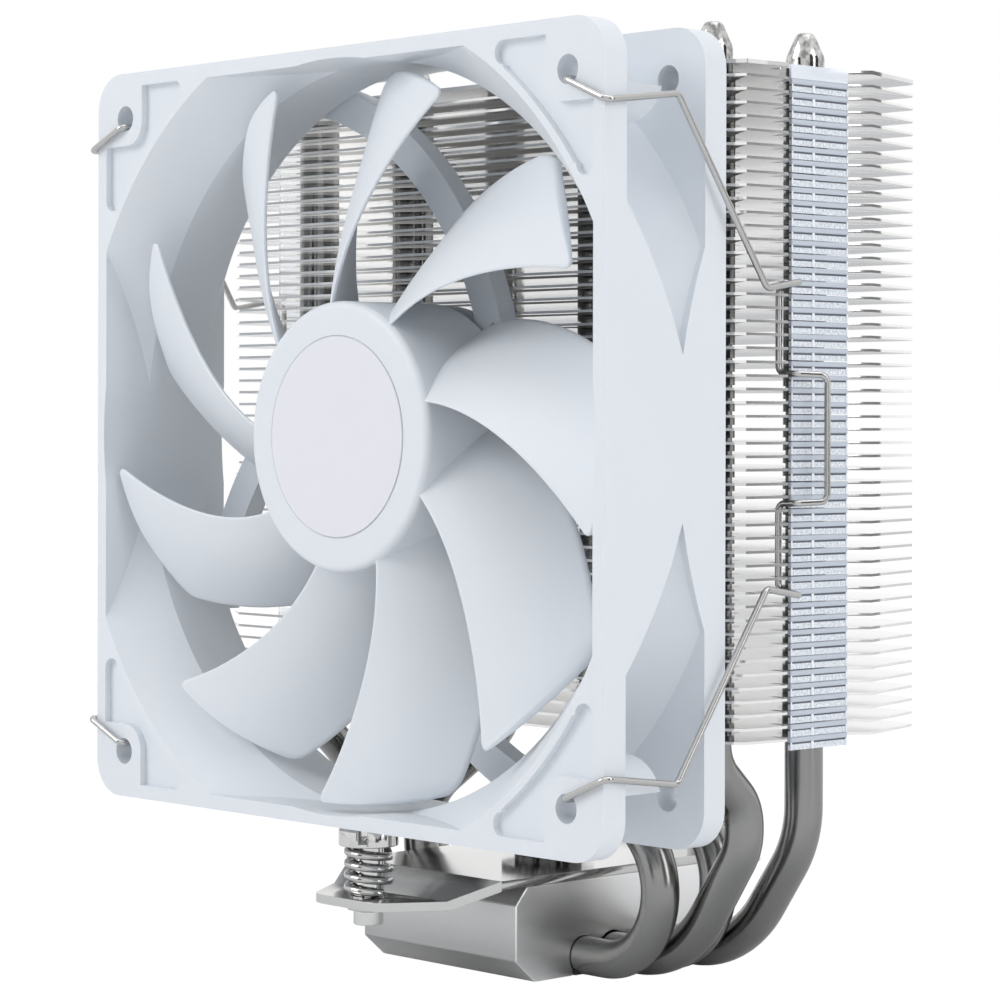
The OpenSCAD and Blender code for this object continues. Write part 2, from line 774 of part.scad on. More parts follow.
module rear_spring() {
    color("silver") translate([0, screw_y, 0]) coil_spring();
}

// Fan frame
module duct_shell() {
    end = wall_end_r - web_step;
    rotate_extrude() polygon([
        [throat_r - 1, 0], [end, 0], [end - 2.3, flange_t], [waist_r - web_step, waist_at],
        [end, fan_d - flange_t], [end, fan_d], [throat_r - 1, fan_d]
    ]);
}

// Half width of a skin where the duct's outline has radius r
function skin_half(r) = sqrt(max(1, pow(r, 2) - pow(fan_w / 2, 2)));
function skin_edge(r1, z1, r2, z2) = [
    for (k = [0:6]) [skin_half(r1 + (r2 - r1) * k / 6), z1 + (z2 - z1) * k / 6]
];

// Flat skin flush with one side of the frame, narrow at the waist
module side_skin() {
    rear = skin_edge(wall_end_r - 2.3, flange_t - 0.5, waist_r, waist_at);
    front = skin_edge(waist_r + 0.2, waist_at + 0.4, wall_end_r, fan_d - flange_t + 0.5);
    half = concat(rear, front);
    depth = web_step + 0.5;
    translate([fan_w / 2 - depth, 0, 0]) rotate([90, 0, 90]) linear_extrude(depth)
        polygon(concat(half, reversed([for (p = half) [-p[0], p[1]]])));
}

// The duct wall steps back from the flat skins
module duct_wall() {
    intersection() {
        duct_shell();
        linear_extrude(fan_d) rounded_square(fan_w, fan_corner_r);
    }
    for (k = [0:3]) rotate(k * 90) side_skin();
}

module duct_bore() {
    translate([0, 0, -1]) cylinder(r = throat_r, h = fan_d + 2);
    intersection() {
        union() {
            translate([0, 0, fan_d - bell_depth]) cylinder(r1 = throat_r, r2 = bell_r, h = bell_depth);
            translate([0, 0, fan_d]) cylinder(r = bell_r, h = 1);
            cylinder(r1 = outlet_r, r2 = throat_r, h = outlet_depth);
            translate([0, 0, -1]) cylinder(r = outlet_r, h = 1);
        }
        translate([0, 0, fan_d / 2]) cube([fan_w - 2 * rim_t, fan_w - 2 * rim_t, fan_d + 4], center = true);
    }
}

module at_holes(z) {
    for (x = [0, 1], y = [0, 1]) mirror([x, 0, 0]) mirror([0, y, 0])
        translate([hole_pitch / 2, hole_pitch / 2, z]) children();
}

// Boss behind the front flange, cut away toward the frame's corner
module hole_boss() {
    difference() {
        cylinder(r = hole_boss_r, h = hole_boss_len + 1);
        translate([-hole_boss_edge, -hole_boss_edge, -1])
            cube([2 * hole_boss_r, 2 * hole_boss_r, hole_boss_len + 1.5]);
    }
}

module corner_pocket() {
    inner = fan_w / 2 - pad_side;
    outer = fan_w / 2 - pocket_rim;
    ridge = bell_r + pocket_wall;
    end = sqrt(pow(ridge + pocket_end_r, 2) - pow(outer - pocket_end_r, 2));
    translate([end, outer - pocket_end_r]) circle(r = pocket_end_r);
    translate([outer - pocket_end_r, end]) circle(r = pocket_end_r);
    difference() {
        translate([end, end]) square(outer - end);
        circle(r = ridge);
        translate([inner + pad_r, inner]) square(pad_side);
        translate([inner, inner + pad_r]) square(pad_side);
        translate([inner + pad_r, inner + pad_r]) circle(r = pad_r);
    }
}

module fan_strut() {
    translate([strut_arc_x, strut_arc_y, seat_inset - 0.4]) rotate([0, 0, strut_from])
        rotate_extrude(angle = strut_to - strut_from)
            translate([strut_arc_r - strut_w / 2, 0]) square([strut_w, strut_t]);
}

module fan_frame() {
    color("white") in_fan() union() {
        difference() {
            union() {
                for (z = [0, fan_d - flange_t])
                    translate([0, 0, z]) linear_extrude(flange_t) rounded_square(fan_w, fan_corner_r);
                duct_wall();
                at_holes(fan_d - flange_t - hole_boss_len) hole_boss();
            }
            duct_bore();
            at_holes(-1) cylinder(d = hole_d, h = fan_d + 2);
            for (k = [0:3]) rotate([0, 0, k * 90]) translate([0, 0, fan_d - pocket_depth])
                linear_extrude(pocket_depth + 1) corner_pocket();
        }
        difference() {
            union() {
                for (k = [0:strut_n - 1]) rotate([0, 0, k * 360 / strut_n]) fan_strut();
                translate([0, 0, seat_inset]) cylinder(r = seat_r, h = seat_t);
            }
            rotate([0, 0, 45]) translate([seat_r - 2, -lead_notch_w / 2, -1]) cube([4, lead_notch_w, fan_d]);
        }
        translate([0, 0, seat_top - 0.1]) ring(tube_r, sleeve_r + 0.05, sleeve_to - seat_top + 0.1);
    }
}

module fan_label() {
    color("gainsboro") in_fan() translate([0, 0, seat_inset - 0.35]) cylinder(r = label_r, h = 0.3);
}

module circuit_board() {
    color("darkgreen") in_fan() translate([0, 0, board_z]) ring(board_r, tube_r + 0.2, board_t);
}

module bearing_sleeve() {
    color("goldenrod") in_fan() translate([0, 0, sleeve_from])
        ring(sleeve_r, shaft_r + run_gap, sleeve_to - sleeve_from);
}

module tooth(grow, tall, from, to) {
    translate([from, -tooth_w / 2 - grow, stator_z - tall])
        cube([to - from, tooth_w + 2 * grow, stator_h + 2 * tall]);
}

module stator_core() {
    color("dimgray") in_fan() union() {
        translate([0, 0, stator_z]) ring(tube_r + core_wall, tube_r + 0.05, stator_h);
        for (k = [0:pole_n - 1]) rotate([0, 0, k * 360 / pole_n]) {
            tooth(0, 0, tube_r + 1, stator_r - 1);
            translate([0, 0, stator_z]) rotate([0, 0, -shoe_half]) rotate_extrude(angle = 2 * shoe_half)
                translate([stator_r - shoe_t, 0]) square([shoe_t, stator_h]);
        }
    }
}

module stator_coils() {
    from = tube_r + core_wall + 0.2;
    to = stator_r - shoe_t - coil_clear;
    color("peru") in_fan() for (k = [0:pole_n - 1]) rotate([0, 0, k * 360 / pole_n]) difference() {
        tooth(coil_t, 1.4, from, to);
        tooth(0.1, 0.1, from - 1, to + 1);
    }
}

// Rotor
module hub_profile() {
    h = hub_top - hub_clear;
    difference() {
        union() {
            square([hub_r - hub_round, h]);
            square([hub_r, h - hub_round]);
            translate([hub_r - hub_round, h - hub_round]) circle(r = hub_round);
        }
        translate([-1, -1]) square([hub_r - hub_wall + 1, h - hub_face_t + 1]);
        translate([-1, h - disc_seat]) square([disc_r + 0.1 + 1, disc_seat + 1]);
    }
    translate([shaft_r + 0.01, h - hub_face_t - boss_len]) square([boss_r - shaft_r - 0.01, boss_len + 0.1]);
}

// Blade surface by span s and chord t, both 0 to 1, and side -1 or 1 of its thickness
function blade_r(s) = mix(hub_r - hub_wall / 2, blade_tip_r, s);
function tip_round(s) = s < 0.8 ? 0 : pow((s - 0.8) / 0.2, 2);
function lead_angle(s) = lead_root - lead_sweep * s - lead_bow * sin(180 * s);
function blade_chord(s) = mix(chord_root, chord_tip, s) - chord_dip * sin(180 * s);
function blade_angle(s, t) =
    lead_angle(s) + mix(lead_cut * tip_round(s), blade_chord(s) - trail_cut * tip_round(s), t);
function blade_depth(s, t) =
    let (run = mix(trail_depth_root, trail_depth_tip, s) - lead_depth)
        lead_depth + run * (t - blade_camber * sin(180 * t));
function blade_half(t) = mix(blade_edge_t, blade_t, sin(180 * t)) / 2;
function blade_point(s, t, side) =
    let (a = blade_angle(s, t), r = blade_r(s))
        [r * cos(a), r * sin(a), fan_d - blade_depth(s, t) + side * blade_half(t) * 1.25];
blade_cols = blade_chord_n + 1;
blade_grid = (blade_span_n + 1) * blade_cols;
blade_points = [
    for (side = [1, -1], i = [0:blade_span_n], j = [0:blade_chord_n])
        blade_point(i / blade_span_n, j / blade_chord_n, side)
];
function top_id(i, j) = i * blade_cols + j;
function low_id(i, j) = blade_grid + top_id(i, j);
function quad(a, b, c, d) = [[a, b, c], [a, c, d]];
blade_faces = concat(
    [for (i = [0:blade_span_n - 1], j = [0:blade_chord_n - 1])
        each quad(top_id(i, j), top_id(i, j + 1), top_id(i + 1, j + 1), top_id(i + 1, j))],
    [for (i = [0:blade_span_n - 1], j = [0:blade_chord_n - 1])
        each quad(low_id(i, j), low_id(i + 1, j), low_id(i + 1, j + 1), low_id(i, j + 1))],
    [for (i = [0:blade_span_n - 1]) each quad(top_id(i, 0), top_id(i + 1, 0), low_id(i + 1, 0), low_id(i, 0))],
    [for (i = [0:blade_span_n - 1])
        each quad(top_id(i + 1, blade_chord_n), top_id(i, blade_chord_n),
            low_id(i, blade_chord_n), low_id(i + 1, blade_chord_n))],
    [for (j = [0:blade_chord_n - 1]) each quad(top_id(0, j + 1), top_id(0, j), low_id(0, j), low_id(0, j + 1))],
    [for (j = [0:blade_chord_n - 1])
        each quad(top_id(blade_span_n, j), top_id(blade_span_n, j + 1),
            low_id(blade_span_n, j + 1), low_id(blade_span_n, j))]
);

module impeller() {
    color("white") in_fan() union() {
        translate([0, 0, hub_clear]) rotate_extrude() hub_profile();
        for (k = [0:blade_n - 1]) rotate([0, 0, k * 360 / blade_n])
            polyhedron(points = blade_points, faces = blade_faces);
    }
}

module hub_disc() {
    color("whitesmoke") in_fan() translate([0, 0, hub_top - disc_seat + 0.02]) cylinder(r = disc_r, h = disc_t);
}

module rotor_cup() {
    color("gray") in_fan() union() {
        translate([0, 0, hub_clear + 0.6]) ring(cup_r, cup_r - cup_t, cup_top - hub_clear - 0.6);
        translate([0, 0, cup_top - cup_t]) ring(cup_r, boss_r + 0.1, cup_t);
    }
}

module ring_magnet() {
    color("black") in_fan() translate([0, 0, stator_z - 1.2]) ring(magnet_r, magnet_r - magnet_t, magnet_h);
}

module fan_shaft() {
    color("silver") in_fan() difference() {
        translate([0, 0, seat_top + 0.6]) cylinder(r = shaft_r, h = hub_top - hub_face_t - seat_top - 0.8);
        translate([0, 0, washer_z - 0.1]) ring(shaft_r + 1, shaft_r - 0.35, washer_t + 0.2);
    }
}

module shaft_washer() {
    color("ivory") in_fan() translate([0, 0, washer_z]) ring(sleeve_r - 1.3, shaft_r - 0.3, washer_t);
}

// Fan clip: one wire from hook to hook, with a hairpin in each end of the notch and a finger loop
function clip_upper() = [
    [hole_pitch / 2 - 0.1, -fan_front + hook_in, hook_dz],
    [hole_pitch / 2 - 0.1, wire_front_y, hook_dz],
    [wire_side_x, wire_front_y, edge_dz],
    [wire_side_x, side_back - fan_front, side_dz],
    [wire_side_x + 1.4, tab_front - 8, pin_dz - 0.6],
    [wire_side_x + 1.7, notch_y, pin_dz + 0.7],
    [notch_x, notch_y, pin_dz - 0.2],
    [notch_x, notch_y, loop_half + 1.5],
    [tab_w / 2 + wire_r + 1, notch_y + 0.2, loop_half + 1.4],
    [tab_w / 2 + loop_out, tab_front + 3.8, loop_half + 1.2]
];
function drop_z(p) = [p[0], p[1], -p[2]];

module fan_clip() {
    upper = clip_upper();
    lower = reversed([for (p = upper) drop_z(p)]);
    path = concat(upper, lower);
    color("silver") translate([0, 0, fan_z])
        bent_bar(path, [for (p = path) wire_bend], wire_r);
}

module fan_clip_right() {
    fan_clip();
}

module fan_clip_left() {
    mirror([1, 0, 0]) fan_clip();
}

base_block();
heat_pipe_1();
heat_pipe_2();
heat_pipe_3();
heat_pipe_4();
cooling_fins();
top_plate();
crossbar();
crossbar_knob();
front_screw();
rear_screw();
front_spring();
rear_spring();
front_retaining_ring();
rear_retaining_ring();
fan_frame();
fan_label();
circuit_board();
stator_core();
stator_coils();
bearing_sleeve();
impeller();
hub_disc();
rotor_cup();
ring_magnet();
fan_shaft();
shaft_washer();
fan_clip_left();
fan_clip_right();
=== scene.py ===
import json
import math

import bmesh
import bpy
from mathutils import Matrix, Vector


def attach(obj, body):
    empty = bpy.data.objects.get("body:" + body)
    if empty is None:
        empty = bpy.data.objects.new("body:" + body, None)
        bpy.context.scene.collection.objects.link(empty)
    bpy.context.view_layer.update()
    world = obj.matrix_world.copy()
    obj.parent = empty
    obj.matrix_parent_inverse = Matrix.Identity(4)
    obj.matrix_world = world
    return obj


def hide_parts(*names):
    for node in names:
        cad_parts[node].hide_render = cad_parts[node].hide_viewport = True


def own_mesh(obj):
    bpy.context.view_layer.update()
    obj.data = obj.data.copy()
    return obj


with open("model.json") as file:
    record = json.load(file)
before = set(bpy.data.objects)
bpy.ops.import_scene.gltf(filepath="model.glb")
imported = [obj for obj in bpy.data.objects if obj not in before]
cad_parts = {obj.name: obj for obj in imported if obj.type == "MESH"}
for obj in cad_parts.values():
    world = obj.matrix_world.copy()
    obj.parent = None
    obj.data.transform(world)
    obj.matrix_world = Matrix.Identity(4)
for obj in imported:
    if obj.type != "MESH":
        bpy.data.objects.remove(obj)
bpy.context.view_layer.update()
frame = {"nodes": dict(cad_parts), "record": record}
scene = bpy.context.scene
scene.view_settings.view_transform = "Standard"
mm = 0.001
record = frame["record"]
bodyOf = {node: body for body, nodes in record["behaviour"]["bodies"].items() for node in nodes}
slotOf = {row["node"]: row["material_slot"] for row in record["subparts"]}
print("frame loaded:", len(frame["nodes"]), "nodes")


# one socket of a node tree, with arithmetic
class Value:
    def __init__(self, graph, socket):
        self.graph = graph
        self.socket = socket

    def combine(self, operation, first, second=None):
        sockets = {0: first} if second is None else {0: first, 1: second}
        return self.graph.node("ShaderNodeMath", {"operation": operation}, sockets)

    def __add__(self, other):
        return self.combine("ADD", self, other)

    def __sub__(self, other):
        return self.combine("SUBTRACT", self, other)

    def __rsub__(self, other):
        return self.combine("SUBTRACT", other, self)

    def __mul__(self, other):
        return self.combine("MULTIPLY", self, other)

    def __truediv__(self, other):
        return self.combine("DIVIDE", self, other)

    def __rtruediv__(self, other):
        return self.combine("DIVIDE", other, self)

    def above(self, other):
        return self.combine("GREATER_THAN", self, other)

    def size(self):
        return self.combine("ABSOLUTE", self)

    def fraction(self):
        return self.combine("FRACT", self)

    __radd__ = __add__
    __rmul__ = __mul__


# a node tree of any kind, filled by one method
class Graph:
    def __init__(self, tree):
        self.tree = tree

    def node(self, kind, settings=None, sockets=None, out=0):
        made = self.tree.nodes.new(kind)
        for key, value in (settings or {}).items():
            if key == "stops":
                self.setStops(made.color_ramp, value)
            else:
                setattr(made, key, value)
        for key, value in (sockets or {}).items():
            self.feed(self.find(made.inputs, key), value)
        return Value(self, self.find(made.outputs, out))

    def find(self, sockets, key):
        if isinstance(key, int):
            return sockets[key]
        byIdentifier = [s for s in sockets if s.identifier == key]
        return byIdentifier[0] if byIdentifier else sockets[key]

    def feed(self, socket, value):
        if isinstance(value, Value):
            self.tree.links.new(value.socket, socket)
        else:
            socket.default_value = value

    def setStops(self, ramp, stops):
        while len(ramp.elements) < len(stops):
            ramp.elements.new(0.5)
        for element, (place, tone) in zip(ramp.elements, stops):
            element.position = place
            element.color = (tone, tone, tone, 1)


def rgba(colour):
    return colour if isinstance(colour, Value) else (*colour, 1.0)


# an emptied node tree, and the output that ends it
def emptyTree(owner):
    owner.use_nodes = True
    owner.node_tree.nodes.clear()
    return Graph(owner.node_tree)


def linkOutput(graph, kind, surface):
    output = graph.tree.nodes.new(kind)
    graph.tree.links.new(surface.socket, output.inputs["Surface"])


# material with a Principled shader; dress(graph, place) returns the sockets that vary
def newMaterial(name, constants, dress):
    made = bpy.data.materials.new(name)
    graph = emptyTree(made)
    place = graph.node("ShaderNodeTexCoord", out="Object")
    sockets = dict(constants)
    sockets.update(dress(graph, place))
    linkOutput(graph, "ShaderNodeOutputMaterial", graph.node("ShaderNodeBsdfPrincipled", None, sockets))
    made.diffuse_color = rgba((0.7, 0.7, 0.7))
    return made


def noise(graph, place, scale, detail=2.0, stretch=(1, 1, 1), roughness=0.5):
    moved = graph.node("ShaderNodeMapping", None, {"Vector": place, "Scale": stretch})
    sockets = {"Vector": moved, "Scale": scale, "Detail": detail, "Roughness": roughness}
    return graph.node("ShaderNodeTexNoise", None, sockets, out="Fac")


def tint(graph, amount, first, second):
    sockets = {"Factor_Float": amount, "A_Color": rgba(first), "B_Color": rgba(second)}
    return graph.node("ShaderNodeMix", {"data_type": "RGBA"}, sockets, out="Result_Color")


def bump(graph, height, strength, distance):
    sockets = {"Height": height, "Strength": strength, "Distance": distance}
    return graph.node("ShaderNodeBump", None, sockets)


def axesOf(graph, place):
    split = graph.node("ShaderNodeSeparateXYZ", None, {"Vector": place})
    return [Value(graph, socket) for socket in split.socket.node.outputs]


# scale of the brush lines on each axis, small along the lines
alongX = (60, 5200, 5200)
alongY = (5200, 60, 5200)
alongZ = (5200, 5200, 60)
everyWay = (900, 900, 900)
fineGrain = (5200, 5200, 5200)
# scales of the noises per metre, and depths of the bumps in metres
texture = {
    "broad": 38.0, "fine": 2600.0, "cloud": 90.0, "dents": 900.0,
    "grainDepth": 0.00004, "lineDepth": 0.00002,
}


def brushLines(graph, place, stretch):
    return noise(graph, place, 1.0, 4.0, stretch, 0.6)


# brush lines, and their mixture with a broad cloud
def worn(graph, place, stretch):
    lines = brushLines(graph, place, stretch)
    cloud = noise(graph, place, texture["cloud"], 3.0)
    return lines, 0.65 * lines + 0.35 * cloud


# moulded plastic with a fine eroded grain
def plastic(name, light, shade, rough, grain):
    def dress(graph, place):
        broad = noise(graph, place, texture["broad"], 3.0)
        fine = noise(graph, place, texture["fine"])
        return {
            "Base Color": tint(graph, broad, shade, light),
            "Roughness": rough + 0.08 * fine + 0.06 * broad,
            "Normal": bump(graph, fine, grain, texture["grainDepth"]),
        }
    return newMaterial(name, {"Specular IOR Level": 0.45}, dress)


# brushed metal
def metal(name, light, shade, rough, spread, stretch, scratch):
    def dress(graph, place):
        lines, wear = worn(graph, place, stretch)
        return {
            "Base Color": tint(graph, wear, shade, light),
            "Roughness": rough + spread * wear,
            "Normal": bump(graph, lines, scratch, texture["lineDepth"]),
        }
    return newMaterial(name, {"Metallic": 1.0}, dress)


# nickel tube with a brighter, patchy tip from this height on
def pipeMetal(name, light, shade, tip, tipFrom):
    def dress(graph, place):
        lines, wear = worn(graph, place, alongZ)
        dents = noise(graph, place, texture["dents"])
        onTip = axesOf(graph, place)[2].above(tipFrom)
        tube = tint(graph, wear, shade, light)
        pinched = tint(graph, 3.0 * dents - 1.0, shade, tip)
        return {
            "Base Color": tint(graph, onTip, tube, pinched),
            "Roughness": 0.15 + 0.12 * wear - 0.1 * onTip,
            "Normal": bump(graph, lines + onTip * dents, 0.06, texture["lineDepth"]),
        }
    return newMaterial(name, {"Metallic": 1.0}, dress)


# plan of a fin in metres: its tabs, its inner part and the collars around the pipes, with the dark tone of
# painted shade and reflection laid on the collars
finPlan = {
    "tabX": 0.0594, "tabFrom": -0.0083, "tabTo": 0.0047, "raisedX": 0.06006, "innerX": 0.052,
    "tabInside": 0.0592, "tabOutside": 0.0598, "legIn": 0.022, "legOut": 0.0463, "legY": 0.0105,
    "collarR": 0.0042, "collarShade": (0.26, 0.258, 0.254),
}
# tones of a tab, with its fold in painted shade and a painted shadow under the fold, and the shares of the
# pitch from which that shadow and the fold begin
finTab = {
    "foot": 0.0385, "pitch": 0.002, "shadowFrom": 0.43, "foldFrom": 0.57, "window": (0.94, 0.97, 1.0),
    "speck": (0.60, 0.66, 0.74), "post": (0.92, 0.94, 0.97), "shadedFold": (0.57, 0.62, 0.69),
    "foldShadow": (0.12, 0.13, 0.16),
}
# the covering fin's tab has neither the painted shadow under a fold nor the fold's painted shade
topTab = dict(finTab, foldFrom=2.0, shadowFrom=2.0, window=(0.86, 0.90, 0.96), speck=(0.82, 0.86, 0.92))
# light that would reach in between the fins by many reflections: in front from left to right,
# behind, and on the inside of the left tabs
finGlow = {
    "front": [(0.0, 0.13), (0.16, 0.12), (0.36, 0.03), (0.6, 0.015), (1.0, 0.01)],
    "rear": (0.025, 0.025, 0.025), "tab": (0.42, 0.42, 0.41),
}


# one inside the collars around the pipes at this distance from the middle
def atCollar(x, y, legX):
    across = x.size() - legX
    along = y.size() - finPlan["legY"]
    return 1 - (across * across + along * along).above(finPlan["collarR"] ** 2)


# bluish painted shade on the fold above two pressed windows, and a painted shadow under the fold
def tabFace(graph, x, z, speck, tab):
    raised = x.size().above(finPlan["raisedX"])
    row = ((z - tab["foot"]) / tab["pitch"]).fraction()
    # the fold is painted in shade, and a painted shadow lies under it in the windows
    shadedFold = row.above(tab["foldFrom"])
    foldShadow = row.above(tab["shadowFrom"]) * (1 - shadedFold) * (1 - raised)
    window = tint(graph, 3.0 * speck - 1.0, tab["speck"], tab["window"])
    face = tint(graph, shadedFold, tint(graph, raised, window, tab["post"]), tab["shadedFold"])
    return tint(graph, foldShadow, face, tab["foldShadow"])


def innerLight(graph, x, y, collar):
    p = finPlan
    rear = y.above(0.0)
    lit = (1 - x.above(p["innerX"]) * (1 - rear)) * (1 - collar)
    lit = lit * x.above(-p["tabOutside"]) * (1 - x.above(p["tabInside"]))
    share = 0.5 + x / (2 * p["innerX"])
    front = graph.node("ShaderNodeValToRGB", {"stops": finGlow["front"]}, {"Fac": share}, out="Color")
    glow = tint(graph, rear, front, finGlow["rear"])
    glow = tint(graph, x.above(-p["tabInside"]), finGlow["tab"], glow)
    return tint(graph, lit, (0, 0, 0), glow)


# bright sheet for the fins, with painted shade on the folds of its tabs and the collars around the pipes
# darkened by painted shade and reflection
def finSheet(name, light, shade, tab):
    def dress(graph, place):
        p = finPlan
        lines = brushLines(graph, place, alongX)
        speck = noise(graph, place, texture["fine"])
        x, y, z = axesOf(graph, place)
        onTab = x.size().above(p["tabX"]) * y.above(p["tabFrom"]) * (1 - y.above(p["tabTo"]))
        collar = atCollar(x, y, p["legIn"]) + atCollar(x, y, p["legOut"])
        # the collars take a dark tone of painted shade and reflection of the pipes
        sheet = tint(graph, collar, tint(graph, lines, shade, light), p["collarShade"])
        return {
            "Base Color": tint(graph, onTab, sheet, tabFace(graph, x, z, speck, tab)),
            "Metallic": 0.8 - 0.65 * onTab,
            "Roughness": 0.07 + 0.06 * lines + 0.2 * onTab,
            "Emission Color": innerLight(graph, x, y, collar),
            "Normal": bump(graph, lines, 0.02, texture["lineDepth"]),
        }
    return newMaterial(name, {"Emission Strength": 1.0}, dress)


# painted reflection: tone of the block over its height, as a lamp and a floor would show in it, and painted
# light that makes its flanks lighter
baseLook = {
    "height": 0.015, "tones": [(0.0, 0.97), (0.3, 0.80), (0.62, 0.92), (0.9, 1.0)],
    "flankX": 0.0178, "litFlank": (0.97, 0.97, 0.965),
}


def blockMetal(name, light, shade):
    def dress(graph, place):
        lines = brushLines(graph, place, alongY)
        x, y, z = axesOf(graph, place)
        share = z / baseLook["height"]
        ramp = graph.node("ShaderNodeValToRGB", {"stops": baseLook["tones"]}, {"Fac": share}, out="Color")
        # the flanks are painted lighter, as light falls on them
        litFlank = x.size().above(baseLook["flankX"])
        face = tint(graph, litFlank, tint(graph, lines, shade, light), baseLook["litFlank"])
        settings = {"data_type": "RGBA", "blend_type": "MULTIPLY"}
        sockets = {"Factor_Float": 1.0, "A_Color": face, "B_Color": ramp}
        return {
            "Base Color": graph.node("ShaderNodeMix", settings, sockets, out="Result_Color"),
            "Roughness": 0.24 + 0.16 * lines,
            "Normal": bump(graph, lines, 0.16, texture["lineDepth"]),
        }
    return newMaterial(name, {"Metallic": 1.0}, dress)


# plastics: name, light and shaded tone, roughness, grain
plastics = {
    "fan_plastic": ("fanWhite", (0.775, 0.81, 0.85), (0.75, 0.785, 0.825), 0.38, 0.12),
    "label_film": ("labelFilm", (0.80, 0.80, 0.845), (0.78, 0.78, 0.825), 0.44, 0.05),
    "magnet": ("magnetFerrite", (0.07, 0.07, 0.072), (0.045, 0.045, 0.048), 0.5, 0.2),
    "board": ("boardLaminate", (0.05, 0.22, 0.11), (0.035, 0.16, 0.08), 0.35, 0.1),
    "washer_nylon": ("washerNylon", (0.84, 0.82, 0.75), (0.78, 0.76, 0.70), 0.4, 0.05),
}
# metals: name, light and shaded tone, roughness and its spread, brush lines, scratch
metals = {
    "bar_metal": ("barSteel", (0.68, 0.678, 0.67), (0.54, 0.538, 0.53), 0.07, 0.10, alongX, 0.08),
    "knob_metal": ("knobSteel", (0.15, 0.149, 0.146), (0.07, 0.069, 0.068), 0.10, 0.08, everyWay, 0.05),
    "screw_metal": ("screwSteel", (0.74, 0.735, 0.725), (0.60, 0.595, 0.585), 0.05, 0.07, everyWay, 0.05),
    "spring_metal": ("springSteel", (0.60, 0.596, 0.588), (0.46, 0.456, 0.45), 0.07, 0.08, everyWay, 0.03),
    "wire_metal": ("wireSteel", (0.56, 0.556, 0.548), (0.48, 0.476, 0.468), 0.13, 0.06, fineGrain, 0.01),
    "core_steel": ("coreSteel", (0.45, 0.45, 0.46), (0.35, 0.35, 0.36), 0.35, 0.15, alongX, 0.1),
    "coil_wire": ("coilCopper", (0.78, 0.42, 0.24), (0.62, 0.30, 0.16), 0.25, 0.15, alongZ, 0.2),
    "bearing_brass": ("bearingBrass", (0.78, 0.62, 0.32), (0.66, 0.50, 0.24), 0.25, 0.12, everyWay, 0.05),
    "shaft_steel": ("shaftSteel", (0.72, 0.72, 0.73), (0.62, 0.62, 0.63), 0.12, 0.1, everyWay, 0.05),
    "cup_steel": ("cupSteel", (0.56, 0.56, 0.57), (0.46, 0.46, 0.47), 0.25, 0.14, everyWay, 0.05),
}
pipeTones = [(0.35, 0.348, 0.342), (0.25, 0.248, 0.244), (0.70, 0.695, 0.685)]
pipeTipFrom = 0.1404
materials = {
    "fin_metal": finSheet("finAluminium", (0.94, 0.935, 0.925), (0.87, 0.865, 0.855), finTab),
    # the covering plate's tones are darker as painted shade of its underside
    "top_metal": finSheet("topAluminiumShaded", (0.82, 0.82, 0.82), (0.74, 0.74, 0.74), topTab),
    "pipe_metal": pipeMetal("pipeNickel", *pipeTones, pipeTipFrom),
    "base_metal": blockMetal("baseAluminium", (0.74, 0.74, 0.735), (0.62, 0.62, 0.62)),
}
for slot, row in plastics.items():
    materials[slot] = plastic(*row)
for slot, row in metals.items():
    materials[slot] = metal(*row)
print("materials:", len(materials))


def smooth(mesh, angle):
    for face in mesh.polygons:
        face.use_smooth = True
    mesh.set_sharp_from_angle(angle=math.radians(angle))


def newPiece(name, mesh, slot):
    made = bpy.data.objects.new(name, mesh)
    scene.collection.objects.link(made)
    mesh.materials.clear()
    mesh.materials.append(materials[slot])
    return made


# a finished piece rides with the CAD node that it stands for
def standFor(piece, node):
    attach(piece, bodyOf[node])
    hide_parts(node)
    return piece


# for copies of CAD meshes: welding distance in millimetres, angle of faces that count as flat
cleanUp = {"weld": 0.002, "flat": 0.4}


def cadCopy(node, keep=None):
    work = bmesh.new()
    work.from_mesh(frame["nodes"][node].data)
    if keep is not None:
        bmesh.ops.delete(work, geom=[v for v in work.verts if not keep(v.co)], context="VERTS")
    flat = math.radians(cleanUp["flat"])
    bmesh.ops.remove_doubles(work, verts=work.verts, dist=cleanUp["weld"] * mm)
    bmesh.ops.dissolve_limit(work, angle_limit=flat, verts=work.verts, edges=work.edges)
    mesh = bpy.data.meshes.new(node + "Copy")
    work.to_mesh(mesh)
    work.free()
    return mesh


# copy of a CAD shape with its edges rounded to this width in millimetres
def softened(node, name, width, segments=2, angle=32, smoothAngle=40):
    mesh = cadCopy(node)
    smooth(mesh, smoothAngle)
    piece = newPiece(name, mesh, slotOf[node])
    if width:
        edge = piece.modifiers.new("edges", "BEVEL")
        edge.width = width * mm
        edge.segments = segments
        edge.limit_method = "ANGLE"
        edge.angle_limit = math.radians(angle)
        edge.harden_normals = True
    return standFor(piece, node)


# geometry node tree with named inputs, baked to a plain mesh
def newTree(name, inputs):
    tree = bpy.data.node_groups.new(name, "GeometryNodeTree")
    tree.interface.new_socket("Geometry", in_out="INPUT", socket_type="NodeSocketGeometry")
    for label, (kind, value) in inputs.items():
        socket = tree.interface.new_socket(label, in_out="INPUT", socket_type=kind)
        if value is not None:
            socket.default_value = value
    tree.interface.new_socket("Geometry", in_out="OUTPUT", socket_type="NodeSocketGeometry")
    start = tree.nodes.new("NodeGroupInput")
    graph = Graph(tree)
    entry = {s.name: Value(graph, s) for s in start.outputs if s.name}
    return tree, graph, entry


def endTree(graph, shape, material):
    real = graph.node("GeometryNodeRealizeInstances", None, {"Geometry": shape})
    painted = graph.node("GeometryNodeSetMaterial", None, {"Geometry": real, "Material": material})
    output = graph.tree.nodes.new("NodeGroupOutput")
    graph.tree.links.new(painted.socket, output.inputs[0])


